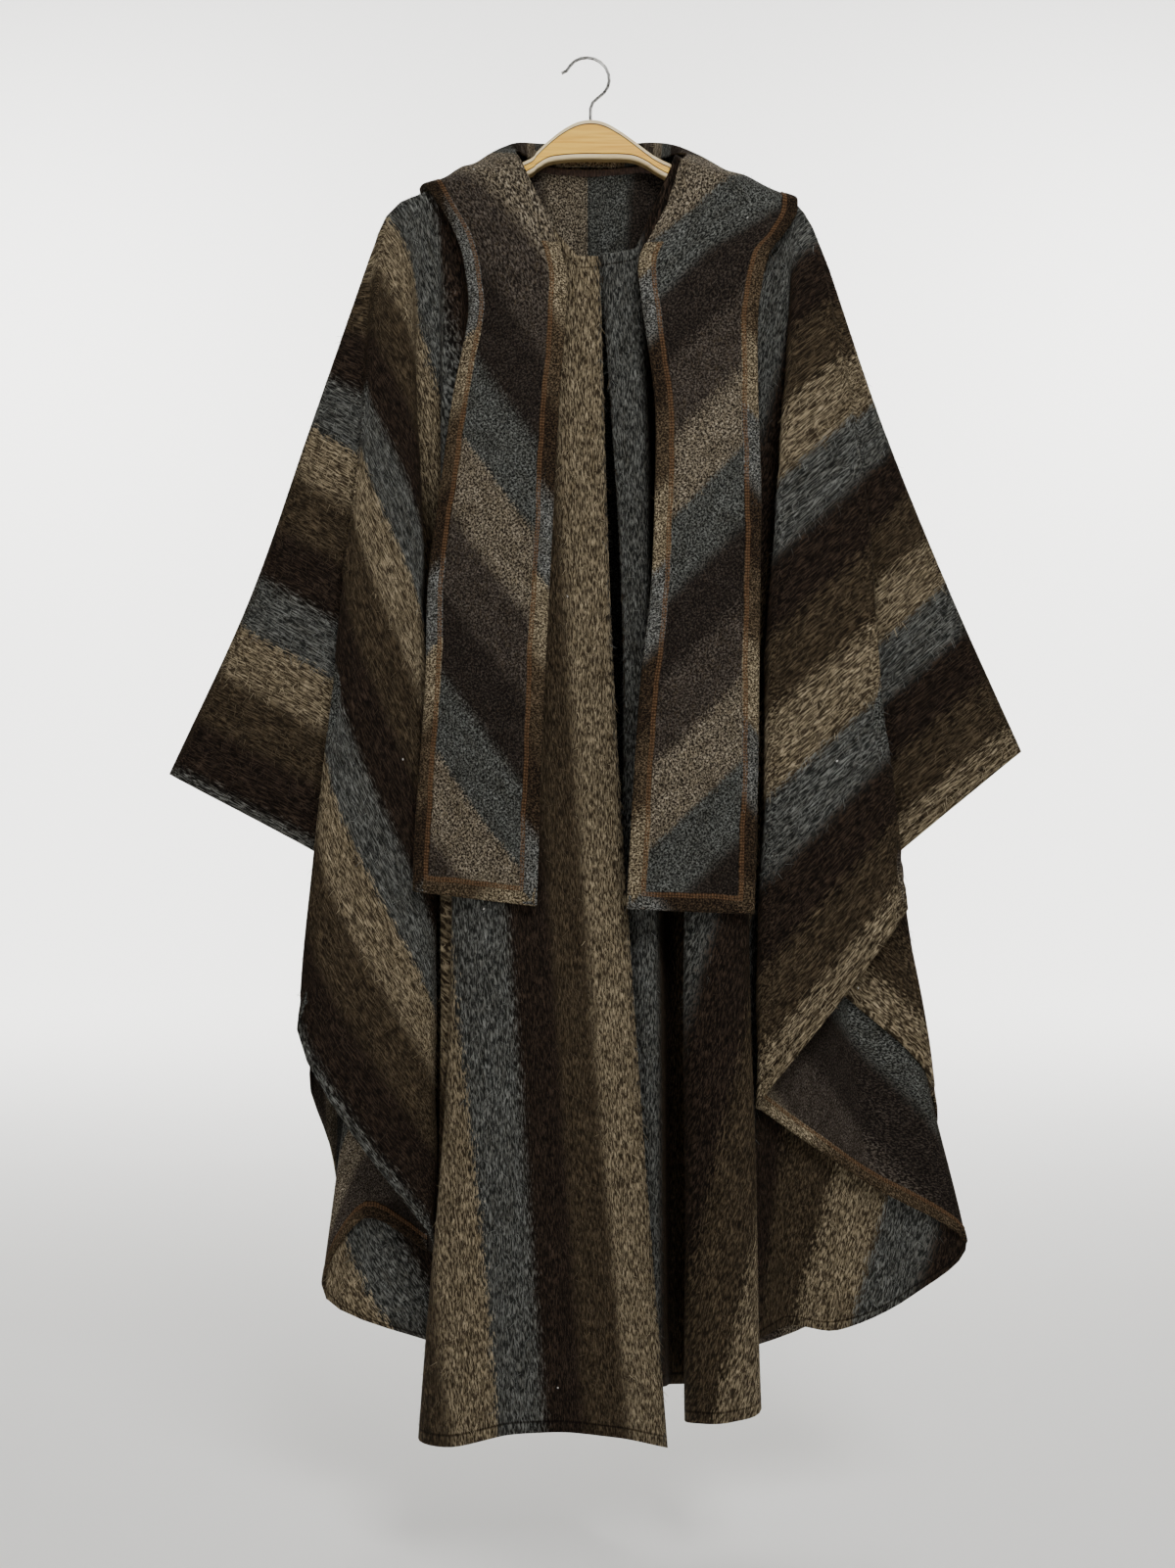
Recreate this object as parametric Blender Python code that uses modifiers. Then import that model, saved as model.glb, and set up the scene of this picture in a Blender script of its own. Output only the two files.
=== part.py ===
"""Long hooded ruana poncho of brushed striped wool, hanging on a plain wooden hanger.

Metres, +Z up, the front faces -Y, +X is the viewer's right. The origin is the held point, under the
top arc of the hanger's hook. The cloth is rigid here and has the form in which it hangs. Positions
in the tables were read by hand off the front view on a grid of GRID metres: across counts to the
right and down counts downwards. The grid is that size at the depth GRID_DEPTH, and it widens with the
distance from the eye, which is EYE_DISTANCE in front of that depth and level with EYE_DOWN. Depths
are in millimetres, and a smaller depth is nearer the viewer.
"""

import bmesh
import bpy
import numpy as np

# driving sizes
GRID = 0.000955  # metres for one step of the front view's grid
ACROSS_ZERO = 600.0  # grid column of the held point and of the eye
DOWN_ZERO = 60.7  # grid row of the held point
EYE_DOWN = 800.5  # grid row level with the eye
EYE_DISTANCE = 1650.0  # mm from the eye to the depth at which the grid is true
GRID_DEPTH = -50.0  # mm
MM = 0.001
WALL = 0.0026  # cloth of the body: brushed wool
HOOD_WALL = 0.0026
SADDLE = 9.4  # mm that the cloth stands off the middle of the hanger arm on each side
SADDLE_DROP = 9.0  # mm below the crest where the cloth hangs free
SEAM = 0.35  # mm from the centre back to each half's edge, less where the walls are thick
BAR_THICK = 0.012
BAR_BEVEL = 0.0012
WIRE = 0.0016  # radius of the hook's wire
STATIONS = (0.0, 1 / 3, 2 / 3, 1.0)  # where each fold line is stated, crest or neckline to lower edge
ROWS = (0, 0.007, 0.018, 0.042, 0.09, 0.155, 0.23, 0.31, 0.39, 0.47, 0.555, 0.64, 0.73, 0.82, 0.91, 1)
CUTS = 2  # grid steps between two fold lines

# One row for a fold line of the viewer's left half, from the centre-front edge out to the drooping
# ridge: name, then across, down and depth at each of the four stations.
LEFT_FRONT = (
    ("edge", 612, 262, -36, 625, 668, -57, 650, 1073, -79, 681, 1478, -97),
    ("first_rise", 590, 262, -42, 585, 668, -71, 600, 1070, -99, 632, 1468, -121),
    ("crown", 562, 230, -32, 556, 645, -78, 564, 1053, -108, 575, 1462, -128),
    ("neck_front", 522, 176, -15, 538, 622, -76, 538, 1044, -104, 545, 1463, -126),
    ("neck_point", 515, 164, 0, 520, 600, -71, 513, 1035, -98, 515, 1464, -121),
    ("slope", 506, 171, 0, 490, 610, -60, 482, 1045, -84, 462, 1476, -104),
    ("column_edge", 485, 179, 0, 468, 610, -40, 461, 1040, -57, 428, 1467, -72),
    ("back_one", 470, 185, 0, 482, 600, -25, 488, 1020, -33, 462, 1440, -41),
    ("narrow", 455, 190, 0, 453, 600, -13, 454, 1005, -20, 445, 1402, -28),
    ("back_two", 445, 194, 0, 462, 590, -5, 470, 985, -8, 460, 1375, -12),
    ("low_flap", 434, 198, 0, 413, 570, 0, 380, 945, 2, 334, 1325, 3),
    ("low_turn", 427, 201, 0, 418, 568, -7, 398, 930, -9, 372, 1242, -10),
    ("under", 419, 204, 0, 430, 565, -15, 439, 920, -17, 438, 1276, -17),
    ("panel_right", 410, 208, 0, 428, 560, -36, 438, 910, -49, 438, 1258, -53),
    ("panel_left", 396, 222, 0, 364, 505, -27, 332, 778, -43, 304, 1051, -49),
    ("pleat_in", 388, 238, 0, 372, 478, -19, 396, 708, -30, 426, 936, -36),
    ("wing_in", 383, 252, 0, 365, 462, -12, 350, 664, -20, 326, 872, -27),
    ("ridge", 378, 265, 0, 317, 440, -4, 255, 615, -8, 174, 791, -14),
)
# The back of the same half, from the ridge to the centre back. The crest is shared with the front.
LEFT_BACK = (
    ("wing_in", 370, 460, 7, 350, 660, 13, 338, 872, 16),
    ("pleat_in", 392, 470, 13, 410, 700, 21, 424, 930, 26),
    ("panel_left", 378, 500, 22, 350, 780, 37, 320, 1080, 44),
    ("panel_right", 402, 535, 34, 372, 860, 58, 340, 1185, 74),
    ("under", 418, 550, 36, 398, 900, 66, 358, 1284, 86),
    ("low_turn", 430, 565, 26, 416, 930, 44, 384, 1322, 57),
    ("low_flap", 441, 572, 17, 432, 950, 27, 404, 1336, 29),
    ("back_two", 452, 580, 26, 448, 968, 44, 426, 1345, 54),
    ("narrow", 464, 590, 38, 464, 982, 73, 450, 1353, 99),
    ("back_one", 478, 597, 40, 484, 995, 78, 478, 1364, 108),
    ("column_edge", 493, 602, 28, 502, 1003, 50, 504, 1375, 63),
    ("slope", 509, 606, 23, 522, 1008, 36, 528, 1386, 38),
    ("neck_point", 526, 608, 32, 541, 1011, 53, 548, 1394, 66),
    ("neck_back", 522, 175, 13, 541, 609, 44, 555, 1011, 73, 562, 1400, 99),
    ("shoulder_blade", 552, 170, 13, 557, 610, 52, 570, 1012, 85, 576, 1406, 113),
    ("nape", 576, 173, 18, 580, 612, 43, 586, 1013, 68, 589, 1411, 90),
    ("centre", 600, 174, 18, 600, 612, 43, 600, 1014, 68, 600, 1412, 90),
)
RIGHT_FRONT = (
    ("edge", 600, 260, -28, 612, 645, -40, 620, 1030, -50, 626, 1418, -54),
    ("strip", 649, 254, -34, 661, 640, -52, 669, 1025, -62, 674, 1416, -64),
    ("gap", 662, 225, -24, 674, 620, -14, 680, 1015, -11, 685, 1413, -9),
    ("neck_front", 685, 171, -15, 702, 604, -7, 714, 1008, -6, 722, 1411, -5),
    ("neck_point", 690, 160, 0, 728, 585, -3, 750, 1000, -3, 766, 1408, -2),
    ("column_edge", 697, 164, 0, 698, 600, -35, 700, 1025, -52, 702, 1447, -62),
    ("slope", 705, 169, 0, 712, 605, -47, 714, 1030, -69, 716, 1452, -92),
    ("crown", 716, 174, 0, 738, 605, -50, 741, 1030, -75, 746, 1451, -99),
    ("fall", 728, 179, 0, 758, 600, -37, 765, 1020, -55, 777, 1437, -71),
    ("back_one", 740, 184, 0, 748, 590, -19, 750, 990, -27, 752, 1390, -32),
    ("lower_left", 753, 189, 0, 766, 575, -7, 786, 965, -6, 800, 1353, -4),
    ("lower_mid", 766, 193, 0, 798, 578, -3, 830, 968, 0, 855, 1357, 2),
    ("lower_right", 780, 198, 0, 824, 570, -1, 880, 945, 3, 930, 1322, 4),
    ("lower_fold", 793, 202, 0, 842, 560, -4, 903, 913, -3, 985, 1267, -3),
    ("inner_face", 803, 206, 0, 822, 555, -12, 850, 900, -13, 886, 1207, -13),
    ("inner_turn", 812, 210, 0, 796, 545, -19, 787, 850, -22, 780, 1134, -23),
    ("panel_left", 820, 219, 0, 793, 530, -34, 782, 826, -48, 776, 1124, -53),
    ("panel_right", 828, 233, 0, 877, 470, -26, 899, 700, -43, 926, 928, -49),
    ("pleat_in", 834, 247, 0, 872, 466, -18, 864, 702, -29, 842, 938, -35),
    ("wing_in", 840, 261, 0, 880, 460, -11, 890, 664, -19, 918, 870, -25),
    ("ridge", 846, 276, 0, 902, 440, -4, 968, 603, -8, 1042, 768, -14),
)
RIGHT_BACK = (
    ("wing_in", 868, 450, 7, 912, 650, 13, 905, 880, 16),
    ("pleat_in", 856, 470, 14, 862, 720, 22, 850, 1000, 28),
    ("panel_right", 872, 505, 22, 905, 800, 37, 954, 1118, 44),
    ("panel_left", 846, 540, 34, 880, 880, 61, 946, 1190, 76),
    ("inner_turn", 832, 555, 35, 858, 910, 66, 930, 1250, 88),
    ("inner_face", 820, 565, 26, 838, 930, 44, 906, 1294, 57),
    ("lower_fold", 808, 572, 17, 818, 950, 27, 878, 1322, 29),
    ("lower_right", 796, 580, 24, 800, 965, 44, 848, 1343, 52),
    ("lower_mid", 783, 588, 36, 782, 978, 73, 818, 1358, 94),
    ("lower_left", 768, 594, 41, 765, 988, 82, 788, 1369, 110),
    ("back_one", 754, 598, 30, 748, 996, 57, 762, 1378, 77),
    ("fall", 740, 602, 23, 732, 1002, 37, 738, 1386, 40),
    ("crown", 724, 604, 28, 715, 1006, 46, 714, 1392, 54),
    ("slope", 707, 606, 40, 697, 1008, 72, 690, 1398, 96),
    ("column_edge", 690, 608, 46, 678, 1010, 84, 667, 1403, 113),
    ("neck_point", 672, 609, 36, 658, 1011, 62, 648, 1407, 82),
    ("neck_back", 684, 173, 13, 660, 610, 34, 645, 1011, 53, 634, 1409, 66),
    ("shoulder_blade", 656, 170, 13, 648, 610, 40, 634, 1012, 59, 624, 1411, 77),
    ("nape", 626, 173, 18, 622, 612, 43, 617, 1013, 68, 613, 1412, 90),
    ("centre", 600, 174, 18, 600, 612, 43, 600, 1014, 68, 600, 1412, 90),
)

# A row for each section of a hood half's tail, from its lower end up to the crest of the shoulder:
# across, down and depth of the inner edge, then of the outer edge, then mm that the middle bulges.
LEFT_TAIL = (
    (547, 924, -112, 423, 909, -66, 3),
    (549, 866, -110, 425, 850, -65, 4),
    (551, 793, -106, 431, 770, -62, 5),
    (555, 700, -99, 436, 690, -60, 5),
    (560, 600, -91, 439, 590, -56, 5),
    (565, 500, -82, 452, 490, -50, 6),
    (570, 410, -73, 464, 405, -43, 6),
    (576, 330, -63, 480, 320, -36, 6),
    (577, 275, -55, 474, 262, -29, 6),
    (564, 234, -45, 461, 228, -23, 7),
    (548, 198, -34, 446, 204, -18, 5),
    (533, 166, -18, 436, 190, -9, 3),
)
RIGHT_TAIL = (
    (641, 927, -104, 769, 932, -76, 3),
    (645, 856, -102, 771, 860, -75, 4),
    (650, 770, -99, 773, 780, -73, 5),
    (656, 690, -93, 774, 690, -70, 5),
    (666, 600, -86, 775, 600, -66, 5),
    (670, 500, -77, 776, 500, -60, 5),
    (670, 410, -68, 773, 410, -53, 6),
    (658, 320, -58, 773, 320, -45, 6),
    (653, 268, -51, 783, 262, -34, 7),
    (666, 238, -44, 800, 238, -24, 8),
    (681, 209, -34, 812, 219, -18, 5),
    (694, 168, -18, 813, 204, -10, 3),
)
# A row for each section of the same half behind the shoulder, out to in: across, down and depth of
# the neck edge, the roll's front and back, the pouch's inner fold, its outer fold and the face edge.
LEFT_POUCH = (
    (526, 155, 3, 508, 157, 8, 490, 165, 15, 474, 176, 19, 454, 190, 19, 430, 196, 10),
    (531, 156, 13, 526, 148, 17, 524, 151, 28, 500, 240, 44, 482, 258, 56, 446, 220, 46),
    (552, 167, 17, 550, 149, 20, 549, 152, 32, 535, 322, 58, 525, 342, 76, 488, 216, 80),
    (574, 171, 18, 574, 151, 21, 574, 153, 33, 570, 396, 68, 568, 418, 94, 545, 203, 110),
    (600, 171, 18, 600, 151, 21, 600, 153, 33, 600, 396, 68, 600, 418, 94, 600, 203, 110),
)
RIGHT_POUCH = (
    (701, 158, 3, 718, 164, 8, 736, 172, 15, 754, 184, 19, 776, 198, 19, 808, 208, 10),
    (688, 158, 13, 692, 151, 17, 694, 154, 28, 716, 244, 44, 736, 262, 56, 776, 230, 46),
    (662, 166, 17, 665, 148, 20, 666, 151, 32, 676, 324, 58, 690, 344, 76, 728, 220, 80),
    (630, 171, 18, 630, 151, 21, 630, 153, 33, 632, 396, 68, 634, 418, 94, 660, 203, 110),
    (600, 171, 18, 600, 151, 21, 600, 153, 33, 600, 396, 68, 600, 418, 94, 600, 203, 110),
)

# The wooden bar: across, its top edge and its bottom edge, in grid rows.
BAR = (
    (411, 216.6, 230),
    (414, 214.1, 233),
    (434, 205.6, 226),
    (470, 192.6, 212),
    (506, 178.6, 197),
    (541, 164, 180),
    (549, 156, 174),
    (560, 145.5, 167.5),
    (574, 134.5, 165),
    (589, 126.5, 164),
    (603, 124, 163.7),
    (617, 126.5, 164),
    (632, 134.5, 164),
    (647, 145, 165.5),
    (660, 155, 171),
    (674, 164, 180),
    (706, 178.4, 196),
    (740, 192.8, 212),
    (776, 205.3, 225),
    (806, 216.3, 236),
    (809, 220, 233),
)
# The hook's wire from the bar up, round and back to its tip: across and down.
HOOK = (
    (603, 123.5), (603, 111), (605.6, 104.4), (611.5, 99.3), (616.8, 94.8), (620.6, 89),
    (622.2, 82.5), (621.4, 75.5), (618.4, 69), (613.4, 63.8), (607, 60.2), (600, 59), (593, 59.8),
    (587, 62.6), (582.2, 67.2), (578.6, 72.4), (573.4, 75),
)

COLOURS = {
    "wool": (0.20, 0.165, 0.14, 1.0),
    "wool_inside": (0.22, 0.18, 0.15, 1.0),
    "wood": (0.62, 0.46, 0.22, 1.0),
    "steel": (0.62, 0.62, 0.62, 1.0),
}


def material(name, rough, metal=0.0):
    found = bpy.data.materials.new(name)
    found.use_nodes = True
    shader = found.node_tree.nodes["Principled BSDF"]
    shader.inputs["Base Color"].default_value = COLOURS[name]
    shader.inputs["Roughness"].default_value = rough
    shader.inputs["Metallic"].default_value = metal
    return found


def place(across, down, depth):
    """Grid readings and a depth in mm as metres in the part's frame, along the eye's sight lines."""
    across, down, depth = np.broadcast_arrays(across, down, depth)
    step = GRID * (1 + (depth - GRID_DEPTH) / EYE_DISTANCE)
    held = GRID * (1 - GRID_DEPTH / EYE_DISTANCE) * (EYE_DOWN - DOWN_ZERO)
    x = (across - ACROSS_ZERO) * step
    z = (EYE_DOWN - down) * step - held
    return np.stack([x, depth * MM, z], axis=-1).astype(float)


def slopes(points, at):
    """Slope at each of the points, which lie at the parameters in at, along axis 0."""
    step = np.diff(at).reshape((-1,) + (1,) * (points.ndim - 1))
    rise = np.diff(points, axis=0) / step
    inner = (rise[:-1] * step[1:] + rise[1:] * step[:-1]) / (step[1:] + step[:-1])
    return np.concatenate([rise[:1], inner, rise[-1:]])


def hermite(points, tangents, at, where):
    """The curve through points at the parameters in at, read at the parameters in where."""
    at = np.asarray(at, float)
    where = np.asarray(where, float)
    i = np.clip(np.searchsorted(at, where, side="right") - 1, 0, len(at) - 2)
    shape = (-1,) + (1,) * (points.ndim - 1)
    span = (at[i + 1] - at[i]).reshape(shape)
    f = ((where - at[i]) / (at[i + 1] - at[i])).reshape(shape)
    return (
        points[i] * (2 * f**3 - 3 * f**2 + 1)
        + points[i + 1] * (3 * f**2 - 2 * f**3)
        + tangents[i] * span * (f**3 - 2 * f**2 + f)
        + tangents[i + 1] * span * (f**3 - f**2)
    )


def fold_slopes(lines):
    """Slopes across the fold lines: half the way between the neighbours, and never longer than the
    nearer one is away, so that a sharp fold stays round and doesn't loop."""
    step = np.diff(lines, axis=0)
    length = np.linalg.norm(step, axis=-1, keepdims=True)
    inner = (step[:-1] + step[1:]) / 2
    most = np.minimum(length[:-1], length[1:])
    size = np.linalg.norm(inner, axis=-1, keepdims=True)
    inner = inner * np.minimum(1.0, most / np.maximum(size, 1e-9))
    return np.concatenate([step[:1], inner, step[-1:]])


def table_lines(front, back):
    """Station points of all the fold lines of a half, round from the centre front to the centre back,
    the index of the ridge and that of the neck point, in front."""
    rows = [np.array(row[1:], float).reshape(4, 3) for row in front]
    names = [row[0] for row in front]
    tops = {name: line[0] for name, line in zip(names, rows)}
    ridge = len(rows) - 1
    neck = names.index("neck_point")
    for row in back:
        rest = np.array(row[1:], float).reshape(-1, 3)
        if len(rest) == 3:
            rest = np.concatenate([tops[row[0]][None], rest])
        rows.append(rest)
    lines = np.stack(rows, axis=1)
    return place(lines[..., 0], lines[..., 1], lines[..., 2]), ridge, neck


def half_grid(front, back, side, rows=ROWS, cuts=CUTS):
    """Grid of points, rows down by columns round, of one half of the body."""
    stations, ridge, neck = table_lines(front, back)
    rows = np.asarray(rows, float)
    lines = hermite(stations, slopes(stations, np.array(STATIONS)), STATIONS, rows)
    lines = lines.transpose(1, 0, 2)
    count = len(lines)
    # the saddle over the hanger's arm: a quarter round either side of the crest
    drop = np.clip((lines[:, :1, 2] - lines[:, :, 2]) / (SADDLE_DROP * MM), 0, 1)
    round_off = np.sqrt(1 - (1 - drop) ** 2) * SADDLE * MM
    index = np.arange(count)
    mirror = 2 * ridge - neck
    # share of the saddle that each line has: none at the ridge, full on the arm, none past the neck
    from_ridge = np.abs(index - ridge)
    share = np.clip(from_ridge / 3.5, 0, 1)
    on_arm = (index >= neck) & (index <= mirror)
    share = np.where(on_arm, share, 0.0)
    sign = np.where(index < ridge, -1.0, 1.0)
    fade = 0.35 + 0.65 * np.exp(-rows * 6)
    lines[:, :, 1] += (share * sign)[:, None] * round_off * fade[None]
    where = np.linspace(0, count - 1, (count - 1) * cuts + 1)
    at = np.arange(count, dtype=float)
    smooth = hermite(lines, fold_slopes(lines), at, where)
    straight = np.stack(
        [
            np.stack([np.interp(where, at, lines[:, r, k]) for k in range(3)], axis=-1)
            for r in range(len(rows))
        ],
        axis=1,
    )
    flat = np.exp(-rows / 0.02)[None, :, None]
    grid = smooth * (1 - flat) + straight * flat
    # the centre back stops short of the middle
    limit = side * SEAM * MM
    grid[..., 0] = np.where(
        (where >= mirror)[:, None],
        np.maximum(grid[..., 0], limit) if side > 0 else np.minimum(grid[..., 0], limit),
        grid[..., 0],
    )
    return grid.transpose(1, 0, 2), ridge * cuts, neck * cuts


def tail_points(table):
    """Six points across each section of a tail, from edge to edge, with the middle forward."""
    table = np.array(table, float)
    inner = place(table[:, 0], table[:, 1], table[:, 2])
    outer = place(table[:, 3], table[:, 4], table[:, 5])
    share = np.linspace(0, 1, 6)[None, :, None]
    points = inner[:, None] * (1 - share) + outer[:, None] * share
    bulge = table[:, 6:7] * MM * np.sin(np.pi * share[..., 0])
    points[..., 1] -= bulge
    return points


def hood_grid(tail, pouch, side, steps=2, across=2):
    """Grid of a hood half, sections along by points across, from the tail's end to the centre."""
    behind = np.array(pouch, float).reshape(-1, 6, 3)
    behind = place(behind[..., 0], behind[..., 1], behind[..., 2])
    points = np.concatenate([tail_points(tail), behind])
    limit = side * SEAM * MM
    n = len(points)
    along = np.linspace(0, n - 1, (n - 1) * steps + 1)
    points = hermite(points, fold_slopes(points), np.arange(n, dtype=float), along)
    turned = points.transpose(1, 0, 2)
    wide = np.linspace(0, 5, 5 * across + 1)
    turned = hermite(turned, fold_slopes(turned), np.arange(6, dtype=float), wide)
    grid = turned.transpose(1, 0, 2)
    grid[..., 0] = np.maximum(grid[..., 0], limit) if side > 0 else np.minimum(grid[..., 0], limit)
    return grid


def sheet(name, grid, wall, mat, flip=False, fold=None):
    """A sheet on the grid's points. fold = (ridge column, neck column) welds the crest of the front
    to that of the back, mirrored about the ridge."""
    rows, columns = grid.shape[:2]
    index = np.arange(rows * columns).reshape(rows, columns)
    if fold:
        ridge, neck = fold
        back = np.arange(ridge, 2 * ridge - neck + 1)
        index[0, back] = index[0, 2 * ridge - back]
    faces = np.stack([index[:-1, :-1], index[:-1, 1:], index[1:, 1:], index[1:, :-1]], axis=-1)
    faces = faces.reshape(-1, 4)
    if flip:
        faces = faces[:, ::-1]
    mesh = bpy.data.meshes.new(name)
    used = np.unique(index)
    order = np.full(rows * columns, -1)
    order[used] = np.arange(len(used))
    mesh.from_pydata(grid.reshape(-1, 3)[used].tolist(), [], order[faces].tolist())
    mesh.materials.append(mat)
    mesh.update()
    thing = bpy.data.objects.new(name, mesh)
    shell = thing.modifiers.new("wall", "SOLIDIFY")
    shell.thickness = wall
    shell.offset = 0.0
    shell.use_quality_normals = True
    return thing


def bar(name, mat):
    """The flat wooden bar: a strip between its top and bottom edges, given its thickness."""
    table = np.array(BAR, float)
    at = np.arange(len(table), dtype=float)
    fine = np.linspace(0, len(table) - 1, (len(table) - 1) * 2 + 1)
    top = place(np.interp(fine, at, table[:, 0]), np.interp(fine, at, table[:, 1]), 0.0)
    low = place(np.interp(fine, at, table[:, 0]), np.interp(fine, at, table[:, 2]), 0.0)
    points = np.concatenate([top, low])
    n = len(fine)
    faces = [(i, i + 1, n + i + 1, n + i) for i in range(n - 1)]
    mesh = bpy.data.meshes.new(name)
    mesh.from_pydata(points.tolist(), [], faces)
    mesh.materials.append(mat)
    thing = bpy.data.objects.new(name, mesh)
    shell = thing.modifiers.new("thickness", "SOLIDIFY")
    shell.thickness = BAR_THICK
    shell.offset = 0.0
    edge = thing.modifiers.new("edge", "BEVEL")
    edge.width = BAR_BEVEL
    edge.segments = 1
    edge.limit_method = "ANGLE"
    edge.angle_limit = 1.0
    return thing


def wire(name, mat):
    """The hook: a bent wire, rounded by short straight runs."""
    curve = bpy.data.curves.new(name, "CURVE")
    curve.dimensions = "3D"
    curve.bevel_depth = WIRE
    curve.bevel_resolution = 2
    curve.use_fill_caps = True
    spline = curve.splines.new("POLY")
    spline.points.add(len(HOOK) - 1)
    for point, (across, down) in zip(spline.points, HOOK):
        x, y, z = place(across, down, 0.0)
        point.co = (x, y, z, 1.0)
    curve.materials.append(mat)
    return bpy.data.objects.new(name, curve)


def main():
    for thing in list(bpy.data.objects):
        bpy.data.objects.remove(thing, do_unlink=True)
    group = bpy.data.collections.new("hooded_poncho")
    bpy.context.scene.collection.children.link(group)
    wool = material("wool", 0.95)
    inside = material("wool_inside", 0.95)
    wood = material("wood", 0.5)
    steel = material("steel", 0.3, 1.0)

    left, left_ridge, left_neck = half_grid(LEFT_FRONT, LEFT_BACK, -1)
    right, right_ridge, right_neck = half_grid(RIGHT_FRONT, RIGHT_BACK, 1)
    things = [
        sheet("body_left", left, WALL, wool, fold=(left_ridge, left_neck)),
        sheet("body_right", right, WALL, wool, flip=True, fold=(right_ridge, right_neck)),
        sheet("hood_left", hood_grid(LEFT_TAIL, LEFT_POUCH, -1), HOOD_WALL, inside),
        sheet("hood_right", hood_grid(RIGHT_TAIL, RIGHT_POUCH, 1), HOOD_WALL, inside, flip=True),
        bar("hanger_bar", wood),
        wire("hanger_hook", steel),
    ]
    for thing in things:
        group.objects.link(thing)


main()
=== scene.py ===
"""Looks of a long hooded ruana poncho of brushed striped wool on its wooden hanger."""

import math

import bmesh
import bpy
import numpy as np
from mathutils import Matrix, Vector


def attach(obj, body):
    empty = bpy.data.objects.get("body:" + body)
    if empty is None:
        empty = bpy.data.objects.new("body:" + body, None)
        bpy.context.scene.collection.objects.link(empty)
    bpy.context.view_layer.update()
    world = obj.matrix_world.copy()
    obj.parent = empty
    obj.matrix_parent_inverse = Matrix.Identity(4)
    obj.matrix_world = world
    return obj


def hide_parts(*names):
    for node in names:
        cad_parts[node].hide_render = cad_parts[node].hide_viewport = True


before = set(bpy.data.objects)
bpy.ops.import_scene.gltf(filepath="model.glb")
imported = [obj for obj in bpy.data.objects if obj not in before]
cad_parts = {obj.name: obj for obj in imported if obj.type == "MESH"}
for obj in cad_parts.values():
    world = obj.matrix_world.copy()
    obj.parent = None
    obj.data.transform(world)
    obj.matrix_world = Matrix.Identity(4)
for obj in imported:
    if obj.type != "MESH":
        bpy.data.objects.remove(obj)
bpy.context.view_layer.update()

# the front view's grid and the cloth's sizes, as in the part's source
GRID = 0.000955  # metres for one step of the front view's grid
ACROSS_ZERO = 600.0  # grid column of the held point and of the eye
DOWN_ZERO = 60.7  # grid row of the held point
EYE_DOWN = 800.5  # grid row level with the eye
EYE_DISTANCE = 1650.0  # mm from the eye to the depth at which the grid is true
GRID_DEPTH = -50.0  # mm
IMAGE_HIGH = 1601.0  # grid rows in the picture
MM = 0.001
EYE_BELOW = GRID * (1 - GRID_DEPTH / EYE_DISTANCE) * (EYE_DOWN - DOWN_ZERO)  # metres under the held point
WALL = 0.0026  # cloth of the body and of the hood
SADDLE = 9.4  # mm that the cloth stands off the middle of the hanger arm on each side
SADDLE_DROP = 9.0  # mm below the crest where the cloth hangs free
SADDLE_LINES = 3.5  # fold lines from the ridge to where the saddle is full
SADDLE_KEPT = 0.35  # share of the saddle that is left at the hem
SADDLE_FADE = 6.0  # how fast it fades on the way down
CREST_STRAIGHT = 0.02  # share of the length over which the straight crest turns into round folds
CENTRE_PAST = 0.1  # mm that a half may pass the centre back
STATIONS = (0.0, 1 / 3, 2 / 3, 1.0)  # where each fold line is stated, crest or neckline to lower edge
BAR_THICK = 0.012
BODY_ROWS = 150
BODY_CUTS = 6  # grid steps between two fold lines
WING_LINES = 3  # fold lines of the wing on the back, where stripes run along the rows
WING_CREEP = 0.02  # share by which u changes there, against the rest of the back
ROW_CROWDING = 1.6  # how much closer the rows lie near the crest

# The turned hem: mm in from the edge and mm out from the middle of the cloth, round its profile. It is
# stated for a hem that is PROFILE_WIDE wide.
HEM_WIDE = 16.5
PROFILE_WIDE = 10.0
HEM_PROFILE = ((0.6, -1.9), (-0.7, -1.5), (-1.3, 0.0), (-0.9, 1.7), (0.3, 2.7), (2.0, 3.1), (4.5, 3.0),
    (6.5, 2.9), (7.6, 2.3), (8.6, 2.7), (9.6, 2.3), (10.2, 1.0))
SEAM_WIDE = 8.0
SEAM_PROFILE = ((0.2, 1.2), (0.4, 2.2), (2.0, 2.7), (4.5, 2.6), (6.5, 2.4), (7.6, 1.9), (8.2, 0.9))
# how its inner edge wanders past INNER_FROM, and how it puffs up between PUFF_FROM and PUFF_TO: rows of
# mm of height, mm of length for one radian, and phase
INNER_FROM = 6
PUFF_FROM, PUFF_TO = 1, 9
WANDER = ((0.5, 31, 0.0), (0.35, 13, 1.7), (0.25, 6.1, 0.6))
PUFF = ((0.25, 17, 0.9), (0.15, 5.3, 0.0))
HEM_U, HEM_V = 0.68, 0.7  # mm that u and v change for each mm in from the edge: stripes cross it aslant

BAND = 50.6  # mm, width of a stripe
LEFT_WIDTH = 767.0  # mm, centre-front edge to selvage
RIGHT_WIDTH = 785.0
CLOTH_LONG = 1256.0  # mm from crest to hem
CORNER_START = 284.0  # mm from the centre-front edge to where the hem's round corner begins
CORNER_HIGH = 562.0  # mm that the round corner takes up the selvage

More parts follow.
